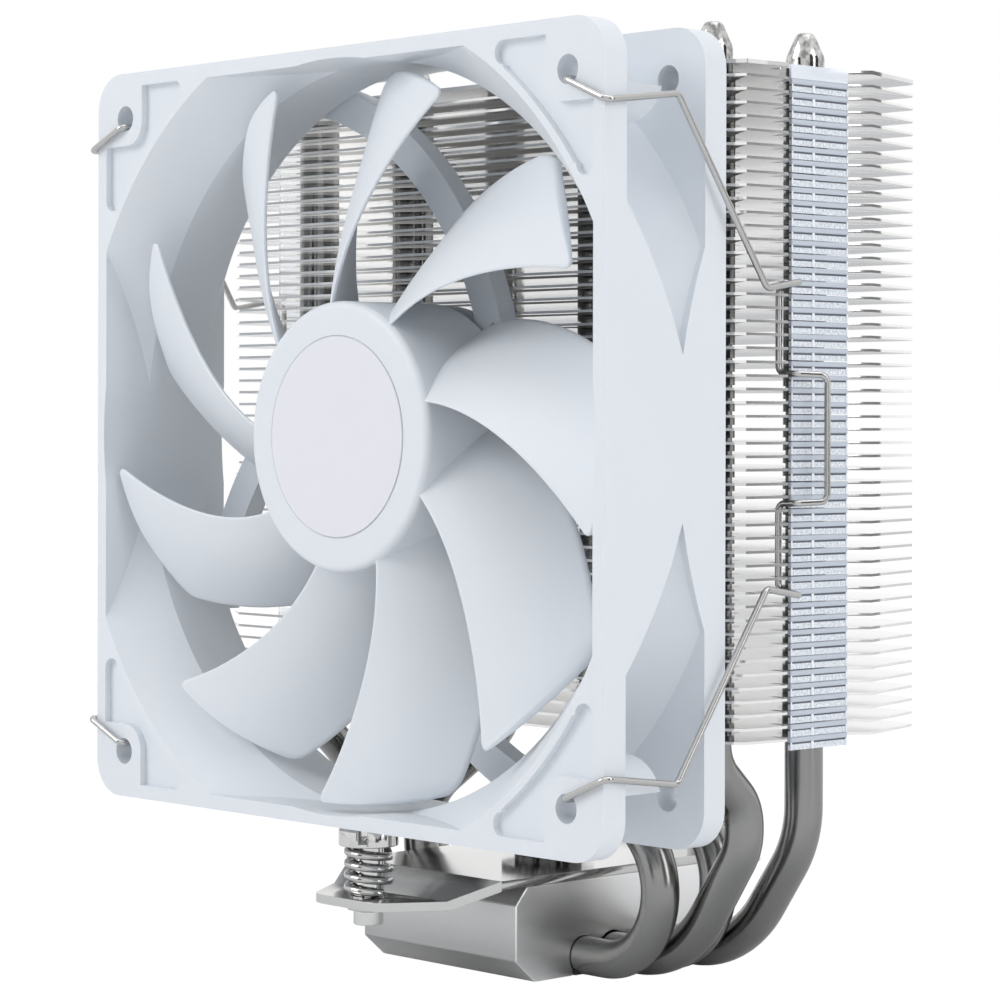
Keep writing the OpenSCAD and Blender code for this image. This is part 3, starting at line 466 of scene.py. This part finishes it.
def bakeTree(name, mesh, tree, values, slot, angle):
    carrier = bpy.data.objects.new(name + "Carrier", mesh)
    scene.collection.objects.link(carrier)
    grown = carrier.modifiers.new("tree", "NODES")
    grown.node_group = tree
    identifiers = {s.name: s.identifier for s in tree.interface.items_tree if s.in_out == "INPUT"}
    for label, value in values.items():
        grown[identifiers[label]] = value
    bpy.context.view_layer.update()
    graphNow = bpy.context.evaluated_depsgraph_get()
    baked = bpy.data.meshes.new_from_object(carrier.evaluated_get(graphNow))
    bpy.data.objects.remove(carrier)
    baked.name = name
    smooth(baked, angle)
    return newPiece(name, baked, slot)


# axis-aligned block added to a bmesh, in millimetres
def addBlock(work, low, high, bevel):
    corners = bmesh.ops.create_cube(work, size=1.0)["verts"]
    for vert in corners:
        for axis in range(3):
            share = vert.co[axis] + 0.5
            vert.co[axis] = (low[axis] + (high[axis] - low[axis]) * share) * mm
    edges = list({edge for vert in corners for edge in vert.link_edges})
    bmesh.ops.bevel(work, geom=edges, offset=bevel * mm, segments=1, affect="EDGES", profile=0.5)


# fan frame
softened("fan_frame", "fanFrame", 0.45, segments=3, angle=30, smoothAngle=35)
print("fan frame done")

# impeller: lathe-turned hub and one blade repeated by a node tree
rotor = {
    "axisZ": 84.9, "rearY": -22.4, "fanDepth": 25.0, "hubR": 21.0, "hubTop": 23.5, "hubLow": 4.5,
    "edgeRound": 1.2, "wall": 1.7, "faceT": 1.8, "bossR": 4.0, "bossLow": 17.5, "shaftR": 1.51,
    "discR": 15.6, "discSeat": 0.2, "rimCut": 0.4, "seatCut": 0.15, "cornerSteps": 10,
    "bladeCount": 9, "tipR": 57.0, "rootR": 20.15, "leadRoot": 55.5, "leadSweep": 30.5, "leadBow": 2.0,
    "chordRoot": 35.0, "chordTip": 23.0, "chordDip": 1.2,
    "leadDepth": 2.2, "trailRoot": 19.0, "trailTip": 11.0, "camber": 0.1, "leadTipR": 1.8, "trailTipR": 2.6,
    "midT": 1.6, "edgeT": 0.7, "swell": 1.2, "edgeFade": 0.5, "tipFade": 0.35, "weld": 0.0005,
    "spanSteps": 36, "chordSteps": 26, "lathe": 144,
}


# point given across the fan and forward from its rear face
def inFan(x, y, z):
    return Vector((x, rotor["rearY"] - z, rotor["axisZ"] + y)) * mm


def hubProfile():
    r = rotor
    steps = r["cornerSteps"]
    bend = [math.radians(90 * k / steps) for k in range(steps + 1)]
    inR = r["hubR"] - r["edgeRound"]
    inZ = r["hubTop"] - r["edgeRound"]
    corner = [(inR + r["edgeRound"] * math.cos(a), inZ + r["edgeRound"] * math.sin(a)) for a in bend]
    seat = r["hubTop"] - r["discSeat"]
    ceiling = r["hubTop"] - r["faceT"]
    bore = r["hubR"] - r["wall"]
    outer = [(r["hubR"], r["hubLow"] + r["rimCut"])] + corner
    front = [(r["discR"] + r["seatCut"], r["hubTop"]), (r["discR"], seat), (r["shaftR"], seat)]
    inner = [(r["shaftR"], r["bossLow"]), (r["bossR"], r["bossLow"]), (r["bossR"], ceiling), (bore, ceiling)]
    rim = [(bore, r["hubLow"]), (r["hubR"] - r["rimCut"], r["hubLow"])]
    return outer + front + inner + rim


def latheInto(work, profile, steps):
    rings = []
    for k in range(steps):
        angle = 2 * math.pi * k / steps
        points = [inFan(x * math.cos(angle), x * math.sin(angle), z) for x, z in profile]
        rings.append([work.verts.new(point) for point in points])
    for k in range(steps):
        here, there = rings[k], rings[(k + 1) % steps]
        for i in range(len(profile)):
            j = (i + 1) % len(profile)
            work.faces.new((here[i], there[i], there[j], here[j]))


def mixed(a, b, t):
    return a + (b - a) * t


# height of a rounded edge this far in from it, as a share of the full height
def roundOff(distance, radius):
    share = min(1.0, max(0.0, distance) / radius)
    return math.sqrt(max(0.0, 1 - (1 - share) ** 2))


# how far a rounded corner has left the straight edge, this far from the tip
def cornerInset(toTip, radius):
    return radius - radius * roundOff(toTip, radius)


# point of a blade at its shares s of the span and t of the chord, on its front or rear side
def bladePoint(s, t, side):
    r = rotor
    radius = mixed(r["rootR"], r["tipR"], s)
    toTip = (1 - s) * (r["tipR"] - r["rootR"])
    leadCut = math.degrees(cornerInset(toTip, r["leadTipR"]) / radius)
    trailCut = math.degrees(cornerInset(toTip, r["trailTipR"]) / radius)
    lead = r["leadRoot"] - r["leadSweep"] * s - r["leadBow"] * math.sin(math.pi * s)
    chord = mixed(r["chordRoot"], r["chordTip"], s) - r["chordDip"] * math.sin(math.pi * s)
    angle = math.radians(lead + mixed(leadCut, chord - trailCut, t))
    run = mixed(r["trailRoot"], r["trailTip"], s) - r["leadDepth"]
    depth = r["leadDepth"] + run * (t - r["camber"] * math.sin(math.pi * t))
    chordLength = math.radians(chord) * radius
    edge = roundOff(min(t, 1 - t) * chordLength, r["edgeFade"]) * roundOff(toTip, r["tipFade"])
    half = mixed(r["edgeT"], r["midT"], math.sin(math.pi * t)) / 2 * r["swell"] * edge
    return inFan(radius * math.cos(angle), radius * math.sin(angle), r["fanDepth"] - depth + side * half)


# steps that narrow toward both ends of the chord, and toward the tip of the span
def chordStep(k, steps):
    return (1 - math.cos(math.pi * k / steps)) / 2


def spanStep(k, steps):
    return math.sin(math.pi / 2 * k / steps)


def bladeMesh():
    work = bmesh.new()
    spans, chords = rotor["spanSteps"], rotor["chordSteps"]
    sheets = []
    for side in (1, -1):
        rows = []
        for i in range(spans + 1):
            s = spanStep(i, spans)
            points = [bladePoint(s, chordStep(j, chords), side) for j in range(chords + 1)]
            rows.append([work.verts.new(point) for point in points])
        sheets.append(rows)
    for side, rows in zip((1, -1), sheets):
        for i in range(spans):
            for j in range(chords):
                loop = (rows[i][j], rows[i][j + 1], rows[i + 1][j + 1], rows[i + 1][j])
                work.faces.new(loop if side > 0 else tuple(reversed(loop)))
    front, back = sheets
    for j in range(chords):
        work.faces.new((front[0][j], back[0][j], back[0][j + 1], front[0][j + 1]))
    bmesh.ops.remove_doubles(work, verts=work.verts, dist=rotor["weld"] * mm)
    bmesh.ops.recalc_face_normals(work, faces=work.faces)
    mesh = bpy.data.meshes.new("bladeOne")
    work.to_mesh(mesh)
    work.free()
    return mesh


def bladeTree():
    inputs = {
        "Blades": ("NodeSocketInt", 3),
        "Axis": ("NodeSocketVector", None),
        "Material": ("NodeSocketMaterial", None),
    }
    tree, graph, entry = newTree("bladeRing", inputs)
    row = graph.node("GeometryNodeMeshLine", None, {"Count": entry["Blades"], "Offset": (0, 0, 0)})
    copies = graph.node("GeometryNodeInstanceOnPoints", None, {"Points": row, "Instance": entry["Geometry"]})
    turn = graph.node("GeometryNodeInputIndex") * (2 * math.pi / entry["Blades"])
    spin = graph.node("ShaderNodeCombineXYZ", None, {"Y": turn})
    sockets = {"Instances": copies, "Rotation": spin, "Pivot Point": entry["Axis"], "Local Space": False}
    turned = graph.node("GeometryNodeRotateInstances", None, sockets)
    endTree(graph, turned, entry["Material"])
    return tree


def makeImpeller():
    axis = (0.0, rotor["rearY"] * mm, rotor["axisZ"] * mm)
    values = {"Blades": rotor["bladeCount"], "Axis": axis, "Material": materials["fan_plastic"]}
    blades = bakeTree("blades", bladeMesh(), bladeTree(), values, "fan_plastic", 60)
    work = bmesh.new()
    work.from_mesh(blades.data)
    latheInto(work, hubProfile(), rotor["lathe"])
    bmesh.ops.recalc_face_normals(work, faces=work.faces)
    mesh = bpy.data.meshes.new("impellerMesh")
    work.to_mesh(mesh)
    work.free()
    bpy.data.objects.remove(blades)
    smooth(mesh, 40)
    return standFor(newPiece("impeller", mesh, "fan_plastic"), "impeller")


makeImpeller()
softened("hub_disc", "hubDisc", 0.08)
print("impeller done")

# fins: the lowest CAD fin with its pressed tabs, repeated by a node tree
fins = {
    "count": 50, "pitch": 2.0, "baseZ": 40.0, "finT": 0.4, "tabX": 60.0, "tabFrom": -8.2, "tabTo": 4.6,
    "tabDrop": 1.5, "raise": 0.2, "band": 0.35, "postEdge": 0.32, "slitAt": -3.55, "slitW": 0.55,
    "topGap": 0.03, "sink": 0.1, "bandBevel": 0.1, "postBevel": 0.06, "cutGap": 0.05,
    "lean": 0.0010, "seed": 7,
}


# raised band and posts around the two windows of each tab
def tabFrames(work):
    f = fins
    low = f["baseZ"] - f["tabDrop"]
    top = f["baseZ"] + f["finT"] - f["topGap"]
    bandZ = f["baseZ"] - f["band"]
    for side in (-1, 1):
        inX, outX = sorted((side * (f["tabX"] - f["sink"]), side * (f["tabX"] + f["raise"])))
        addBlock(work, (inX, f["tabFrom"], bandZ), (outX, f["tabTo"], top), f["bandBevel"])
        for y in (f["tabFrom"], f["slitAt"], f["tabTo"] - f["postEdge"]):
            width = f["slitW"] if y == f["slitAt"] else f["postEdge"]
            addBlock(work, (inX, y, low), (outX, y + width, bandZ + f["sink"]), f["postBevel"])


def finMesh():
    ceiling = (fins["baseZ"] + fins["finT"] + fins["cutGap"]) * mm
    mesh = cadCopy("cooling_fins", lambda place: place.z < ceiling)
    work = bmesh.new()
    work.from_mesh(mesh)
    tabFrames(work)
    work.to_mesh(mesh)
    work.free()
    return mesh


def finTree():
    inputs = {
        "Count": ("NodeSocketInt", 10),
        "Pitch": ("NodeSocketFloat", 0.002),
        "Lean": ("NodeSocketFloat", 0.0),
        "Seed": ("NodeSocketInt", 0),
        "Centre": ("NodeSocketVector", None),
        "Material": ("NodeSocketMaterial", None),
    }
    tree, graph, entry = newTree("finStack", inputs)
    rise = graph.node("ShaderNodeCombineXYZ", None, {"Z": entry["Pitch"]})
    row = graph.node("GeometryNodeMeshLine", None, {"Count": entry["Count"], "Offset": rise})
    copies = graph.node("GeometryNodeInstanceOnPoints", None, {"Points": row, "Instance": entry["Geometry"]})
    lowLean = entry["Lean"] * -1.0
    low = graph.node("ShaderNodeCombineXYZ", None, {"X": lowLean, "Y": lowLean})
    high = graph.node("ShaderNodeCombineXYZ", None, {"X": entry["Lean"], "Y": entry["Lean"]})
    sockets = {"Min": low, "Max": high, "Seed": entry["Seed"]}
    tilt = graph.node("FunctionNodeRandomValue", {"data_type": "FLOAT_VECTOR"}, sockets)
    sockets = {"Instances": copies, "Rotation": tilt, "Pivot Point": entry["Centre"], "Local Space": True}
    tilted = graph.node("GeometryNodeRotateInstances", None, sockets)
    endTree(graph, tilted, entry["Material"])
    return tree


def makeFins():
    values = {
        "Count": fins["count"], "Pitch": fins["pitch"] * mm, "Lean": fins["lean"], "Seed": fins["seed"],
        "Centre": (0.0, 0.0, fins["baseZ"] * mm), "Material": materials["fin_metal"],
    }
    stack = bakeTree("finStack", finMesh(), finTree(), values, "fin_metal", 35)
    return standFor(stack, "cooling_fins")


makeFins()
softened("top_plate", "topPlate", 0.0)
print("fins done")

# coil springs under their screws
spring = {
    "turns": 3.5, "coilR": 3.3, "wireR": 0.6, "low": 14.16, "high": 20.64, "screwY": 39.0, "foot": 13.5,
    "coilSteps": 36, "wireSides": 14,
}


def springTree():
    inputs = {
        "Turns": ("NodeSocketFloat", 3.0),
        "Coil Radius": ("NodeSocketFloat", 0.003),
        "Wire Radius": ("NodeSocketFloat", 0.0005),
        "Height": ("NodeSocketFloat", 0.006),
        "Foot": ("NodeSocketVector", None),
        "Material": ("NodeSocketMaterial", None),
    }
    tree, graph, entry = newTree("coilSpring", inputs)
    sockets = {
        "Resolution": spring["coilSteps"], "Rotations": entry["Turns"], "Start Radius": entry["Coil Radius"],
        "End Radius": entry["Coil Radius"], "Height": entry["Height"],
    }
    helix = graph.node("GeometryNodeCurveSpiral", None, sockets)
    sockets = {"Resolution": spring["wireSides"], "Radius": entry["Wire Radius"]}
    ring = graph.node("GeometryNodeCurvePrimitiveCircle", None, sockets)
    sockets = {"Curve": helix, "Profile Curve": ring, "Fill Caps": True}
    tube = graph.node("GeometryNodeCurveToMesh", None, sockets)
    placed = graph.node("GeometryNodeTransform", None, {"Geometry": tube, "Translation": entry["Foot"]})
    endTree(graph, placed, entry["Material"])
    return tree


def makeSpring(end, sign):
    y = sign * spring["screwY"] * mm
    values = {
        "Turns": spring["turns"], "Coil Radius": spring["coilR"] * mm, "Wire Radius": spring["wireR"] * mm,
        "Height": (spring["high"] - spring["low"]) * mm, "Foot": (0.0, y, spring["low"] * mm),
        "Material": materials["spring_metal"],
    }
    coil = bakeTree(end + "Spring", bpy.data.meshes.new("empty"), springTree(), values, "spring_metal", 50)
    standFor(coil, end + "_spring")
    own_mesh(coil)


makeSpring("front", -1)
makeSpring("rear", 1)
print("springs done")

# degrees between the points of an arc
arcStep = 3.0


# line through its corners, with an arc of the given radius at each one between the ends
def roundedLine(corners, bends):
    line = [corners[0]]
    for before, corner, after, bend in zip(corners, corners[1:], corners[2:], bends):
        u = (corner - before).normalized()
        v = (after - corner).normalized()
        turn = u.angle(v)
        inward = (v - v.dot(u) * u).normalized()
        centre = corner - u * bend * math.tan(turn / 2) + inward * bend
        count = math.ceil(math.degrees(turn) / arcStep)
        for n in range(count + 1):
            angle = turn * n / count
            line.append(centre + (u * math.sin(angle) - inward * math.cos(angle)) * bend)
    return line + [corners[-1]]


# closed tube along a line of points, each with its radius; settle may move a point of its skin
def sweepTube(name, line, sides, settle=None):
    work = bmesh.new()
    across = Vector((0, 1, 0))
    if abs((line[1][0] - line[0][0]).normalized().y) > 0.9:
        across = Vector((1, 0, 0))
    rings = []
    for i, (point, radius) in enumerate(line):
        back = line[max(i - 1, 0)][0]
        ahead = line[min(i + 1, len(line) - 1)][0]
        tangent = ((point - back).normalized() + (ahead - point).normalized()).normalized()
        across = (across - across.dot(tangent) * tangent).normalized()
        beside = tangent.cross(across)
        ring = []
        for n in range(sides):
            angle = 2 * math.pi * n / sides
            spot = point + (across * math.cos(angle) + beside * math.sin(angle)) * radius
            if settle is not None:
                settle(point, spot)
            ring.append(work.verts.new(spot * mm))
        rings.append(ring)
    for low, high in zip(rings, rings[1:]):
        for n in range(sides):
            m = (n + 1) % sides
            work.faces.new((low[n], low[m], high[m], high[n]))
    work.faces.new(rings[0][::-1])
    work.faces.new(rings[-1])
    bmesh.ops.recalc_face_normals(work, faces=work.faces)
    mesh = bpy.data.meshes.new(name)
    work.to_mesh(mesh)
    work.free()
    smooth(mesh, 50)
    return mesh


# heat pipes, each swept without seams along the path of its CAD solid
pipe = {
    "r": 3.0, "sides": 36, "axisZ": 3.05, "pitch": 6.4, "legIn": 22.0, "legOut": 46.3, "legY": 10.5,
    "bendIn": 12.0, "bendOut": 18.0, "knee": 9.0, "step": 7.0, "slope": 57.0, "lean": 40.0,
    "startIn": 23.0, "startOut": 24.0, "stepFrom": 6.2, "stepTo": 13.2, "kneeAt": 0.7, "kneeLift": 0.2,
    "flatTo": 18.0, "flatStep": 0.02, "flatBelow": 2.05, "tipBase": 144.1, "tipLen": 3.9,
}
# share of the tip's length against share of the pipe's radius
tipShape = [
    (-0.1, 1.0), (0.06, 0.966), (0.78, 0.556), (0.86, 0.492), (0.93, 0.42), (0.962, 0.304), (0.99, 0.08),
]


# corners of half a pipe beyond the base: outer pipes lean out, inner ones fold back under the fins
def pipeCorners(k):
    y = (k - 1.5) * pipe["pitch"]
    low = pipe["axisZ"]
    top = pipe["tipBase"]
    legY = pipe["legY"]
    slope = math.radians(pipe["slope"])
    lean = math.radians(pipe["lean"])
    outX = pipe["startOut"] + pipe["bendOut"] * math.tan(slope / 2)
    outZ = low + (pipe["legOut"] - outX) * math.tan(slope)
    inX = pipe["startIn"] + pipe["bendIn"] * math.tan((math.pi / 2 + lean) / 2)
    inZ = low + (inX - pipe["legIn"]) / math.tan(lean)
    kneeX = inX + (pipe["legIn"] - inX) * pipe["kneeAt"]
    kneeZ = low + (inZ - low) * pipe["kneeAt"]
    legIn, legOut = pipe["legIn"], pipe["legOut"]
    if k == 0:
        corners = [(inX, y, low), (legIn, -legY, inZ), (legIn, -legY, top)]
        bends = [pipe["bendIn"], pipe["knee"]]
    elif k == 1:
        corners = [(outX, y, low), (legOut, y, outZ), (legOut, y, outZ + pipe["stepFrom"]),
                   (legOut, -legY, outZ + pipe["stepTo"]), (legOut, -legY, top)]
        bends = [pipe["bendOut"], pipe["knee"], pipe["step"], pipe["step"]]
    elif k == 2:
        corners = [(inX, y, low), (kneeX, y, kneeZ), (legIn, legY, inZ + pipe["kneeLift"]),
                   (legIn, legY, top)]
        bends = [pipe["bendIn"], pipe["step"], pipe["step"]]
    else:
        corners = [(outX, y, low), (legOut, legY, outZ), (legOut, legY, top)]
        bends = [pipe["bendOut"], pipe["bendOut"]]
    return [Vector(c) for c in corners], bends


# half a pipe from the middle of the base to its tip, as points with the radius at each
def pipeHalf(k):
    corners, bends = pipeCorners(k)
    y, low = corners[0].y, corners[0].z
    middle = Vector((0.0, y, low))
    flatEnd = [Vector((pipe["flatTo"] + shift, y, low)) for shift in (-pipe["flatStep"], pipe["flatStep"])]
    line = roundedLine([middle] + corners, bends)
    half = [(point, pipe["r"]) for point in line[:1] + flatEnd + line[1:-1]]
    for along, share in tipShape:
        half.append((corners[-1] + Vector((0, 0, along * pipe["tipLen"])), share * pipe["r"]))
    return half


# the underside is flat where the pipe touches the processor
def flattenPipe(point, spot):
    if abs(point.x) < pipe["flatTo"] and spot.z < pipe["axisZ"] - pipe["flatBelow"]:
        spot.z = 0.0


def makePipe(k):
    name = "heatPipe%d" % (k + 1)
    half = pipeHalf(k)
    other = [(Vector((-p.x, p.y, p.z)), r) for p, r in half[1:]]
    mesh = sweepTube(name, other[::-1] + half, pipe["sides"], flattenPipe)
    standFor(newPiece(name, mesh, "pipe_metal"), "heat_pipe_%d" % (k + 1))


for k in range(4):
    makePipe(k)
print("pipes done")

# fan clips, one wire each, given by the corners of its upper half
clip = {"r": 0.5, "sides": 18, "bend": 1.2, "axisZ": 84.9}
clipCorners = [
    (52.4, -44.2, 51.2), (52.4, -48.15, 51.2), (61.1, -48.15, 47.5), (61.1, -33.7, 49.4),
    (62.5, -16.2, 22.0), (62.8, -8.75, 23.3), (58.1, -8.75, 22.4), (58.1, -8.75, 9.7),
    (61.5, -8.55, 9.6), (63.9, -4.4, 9.4),
]


def makeClip(name, node, side):
    upper = [Vector((side * x, y, clip["axisZ"] + z)) for x, y, z in clipCorners]
    lower = [Vector((side * x, y, clip["axisZ"] - z)) for x, y, z in clipCorners[::-1]]
    corners = upper + lower
    line = roundedLine(corners, [clip["bend"]] * (len(corners) - 2))
    mesh = sweepTube(name, [(point, clip["r"]) for point in line], clip["sides"])
    standFor(newPiece(name, mesh, "wire_metal"), node)


makeClip("fanClipLeft", "fan_clip_left", -1)
makeClip("fanClipRight", "fan_clip_right", 1)
print("clips done")

# base, crossbar and screws from their CAD shapes
softened("base_block", "baseBlock", 0.25)
softened("crossbar", "crossbar", 0.18)
softened("crossbar_knob", "crossbarKnob", 0.0, smoothAngle=25)
softened("front_screw", "frontScrew", 0.18)
softened("rear_screw", "rearScrew", 0.18)
# small and hidden pieces show their CAD shapes as they are
for node in ("front_retaining_ring", "rear_retaining_ring", "fan_label", "circuit_board", "stator_core",
             "stator_coils", "bearing_sleeve", "rotor_cup", "ring_magnet", "fan_shaft", "shaft_washer"):
    own = frame["nodes"][node]
    own.data.materials.clear()
    own.data.materials.append(materials[slotOf[node]])
print("metal pieces done")

# floor, world, lamps and the dark cards that only polished metal sees
studio = {
    "floorSize": 8.0, "floorDrop": 0.3, "floorTone": 0.88, "floorGlow": 1.07, "floorSeen": 0.93,
    "worldLight": 0.52, "shadeTone": (0.965, 0.985, 1.02), "middle": (0.0, 0.0, 0.075),
}
lamps = {
    "keyBox": {"place": (-0.55, -1.25, 0.95), "size": (0.9, 0.9), "power": 9.5},
    "fillBox": {"place": (1.25, 0.12, 0.55), "size": (0.8, 1.0), "power": 5.4},
    "topBox": {"place": (0.1, 0.1, 1.5), "size": (1.2, 1.2), "power": 6.0},
}
flags = {
    "flagRight": {"place": (0.75, 0.35, 0.1), "size": (0.28, 0.9)},
    "flagFront": {"place": (0.12, -0.85, 0.05), "size": (0.26, 0.9)},
    "flagSide": {"place": (0.80, -0.12, 0.08), "size": (0.30, 1.3)},
}


# level rectangle about the origin
def newCard(name, size, material):
    w, h = size[0] / 2, size[1] / 2
    mesh = bpy.data.meshes.new(name)
    mesh.from_pydata([(-w, -h, 0), (w, -h, 0), (w, h, 0), (-w, h, 0)], [], [(0, 1, 2, 3)])
    mesh.materials.append(material)
    card = bpy.data.objects.new(name, mesh)
    scene.collection.objects.link(card)
    return card


# puts a lamp or card in its place, facing the cooler
def aim(made, place):
    made.location = place
    made.rotation_euler = (Vector(studio["middle"]) - Vector(place)).to_track_quat("-Z", "Y").to_euler()


# the camera sees a glowing floor, the rest of the scene a matte one
def floorMaterial():
    made = bpy.data.materials.new("paleFloor")
    graph = emptyTree(made)
    seen = graph.node("ShaderNodeLightPath", out="Is Camera Ray")
    tone = rgba((studio["floorTone"],) * 3)
    matte = graph.node("ShaderNodeBsdfDiffuse", None, {"Color": tone})
    glow = graph.node("ShaderNodeEmission", None, {"Color": (1, 1, 1, 1), "Strength": studio["floorGlow"]})
    both = graph.node("ShaderNodeMixShader", None, {0: studio["floorSeen"] * seen, 1: matte, 2: glow})
    linkOutput(graph, "ShaderNodeOutputMaterial", both)
    return made


def makeFloor():
    floor = newCard("floor", (studio["floorSize"], studio["floorSize"]), floorMaterial())
    floor.location.z = -studio["floorDrop"] * mm


# white where it is seen, dimmer and bluish as a light
def makeWorld():
    world = bpy.data.worlds.new("studio")
    scene.world = world
    graph = emptyTree(world)
    path = graph.tree.nodes.new("ShaderNodeLightPath")
    kinds = ("Is Camera Ray", "Is Glossy Ray", "Is Transmission Ray")
    direct, glossy, through = [Value(graph, path.outputs[kind]) for kind in kinds]
    shown = direct + glossy + through
    level = studio["worldLight"] + (1 - studio["worldLight"]) * shown
    tone = tint(graph, shown, studio["shadeTone"], (1, 1, 1))
    back = graph.node("ShaderNodeBackground", None, {"Color": tone, "Strength": level})
    linkOutput(graph, "ShaderNodeOutputWorld", back)


def makeLamp(name, place, size, power):
    lamp = bpy.data.lights.new(name, "AREA")
    lamp.shape = "RECTANGLE"
    lamp.size, lamp.size_y = size
    lamp.energy = power
    made = bpy.data.objects.new(name, lamp)
    scene.collection.objects.link(made)
    aim(made, place)


def flagBlack(graph, place):
    return {"Base Color": tint(graph, noise(graph, place, 3.0), (0.015,) * 3, (0.025,) * 3)}


def makeFlag(name, place, size, material):
    flag = newCard(name, size, material)
    aim(flag, place)
    flag.visible_camera = False
    flag.visible_diffuse = False
    flag.visible_shadow = False


makeFloor()
makeWorld()
for name, lamp in lamps.items():
    makeLamp(name, **lamp)
flagMaterial = newMaterial("flagBlack", {"Roughness": 0.9}, flagBlack)
for name, flag in flags.items():
    makeFlag(name, material=flagMaterial, **flag)
print("studio done")

# camera fitted to the photograph
view = {
    "place": (0.37241, -0.36062, 0.08776), "forward": (-0.7292, 0.6843, 0.0), "lens": 113.57,
    "shiftY": -0.0814, "roll": 0.127, "sensor": 36.0, "clipStart": 0.01,
}
lens = bpy.data.cameras.new("photoCamera")
lens.sensor_width = view["sensor"]
lens.lens = view["lens"]
lens.shift_y = view["shiftY"]
lens.clip_start = view["clipStart"]
camera = bpy.data.objects.new("photoCamera", lens)
camera.location = view["place"]
facing = Vector(view["forward"]).to_track_quat("-Z", "Y").to_matrix()
camera.rotation_euler = (facing @ Matrix.Rotation(math.radians(view["roll"]), 3, "Z")).to_euler()
scene.collection.objects.link(camera)
scene.camera = camera
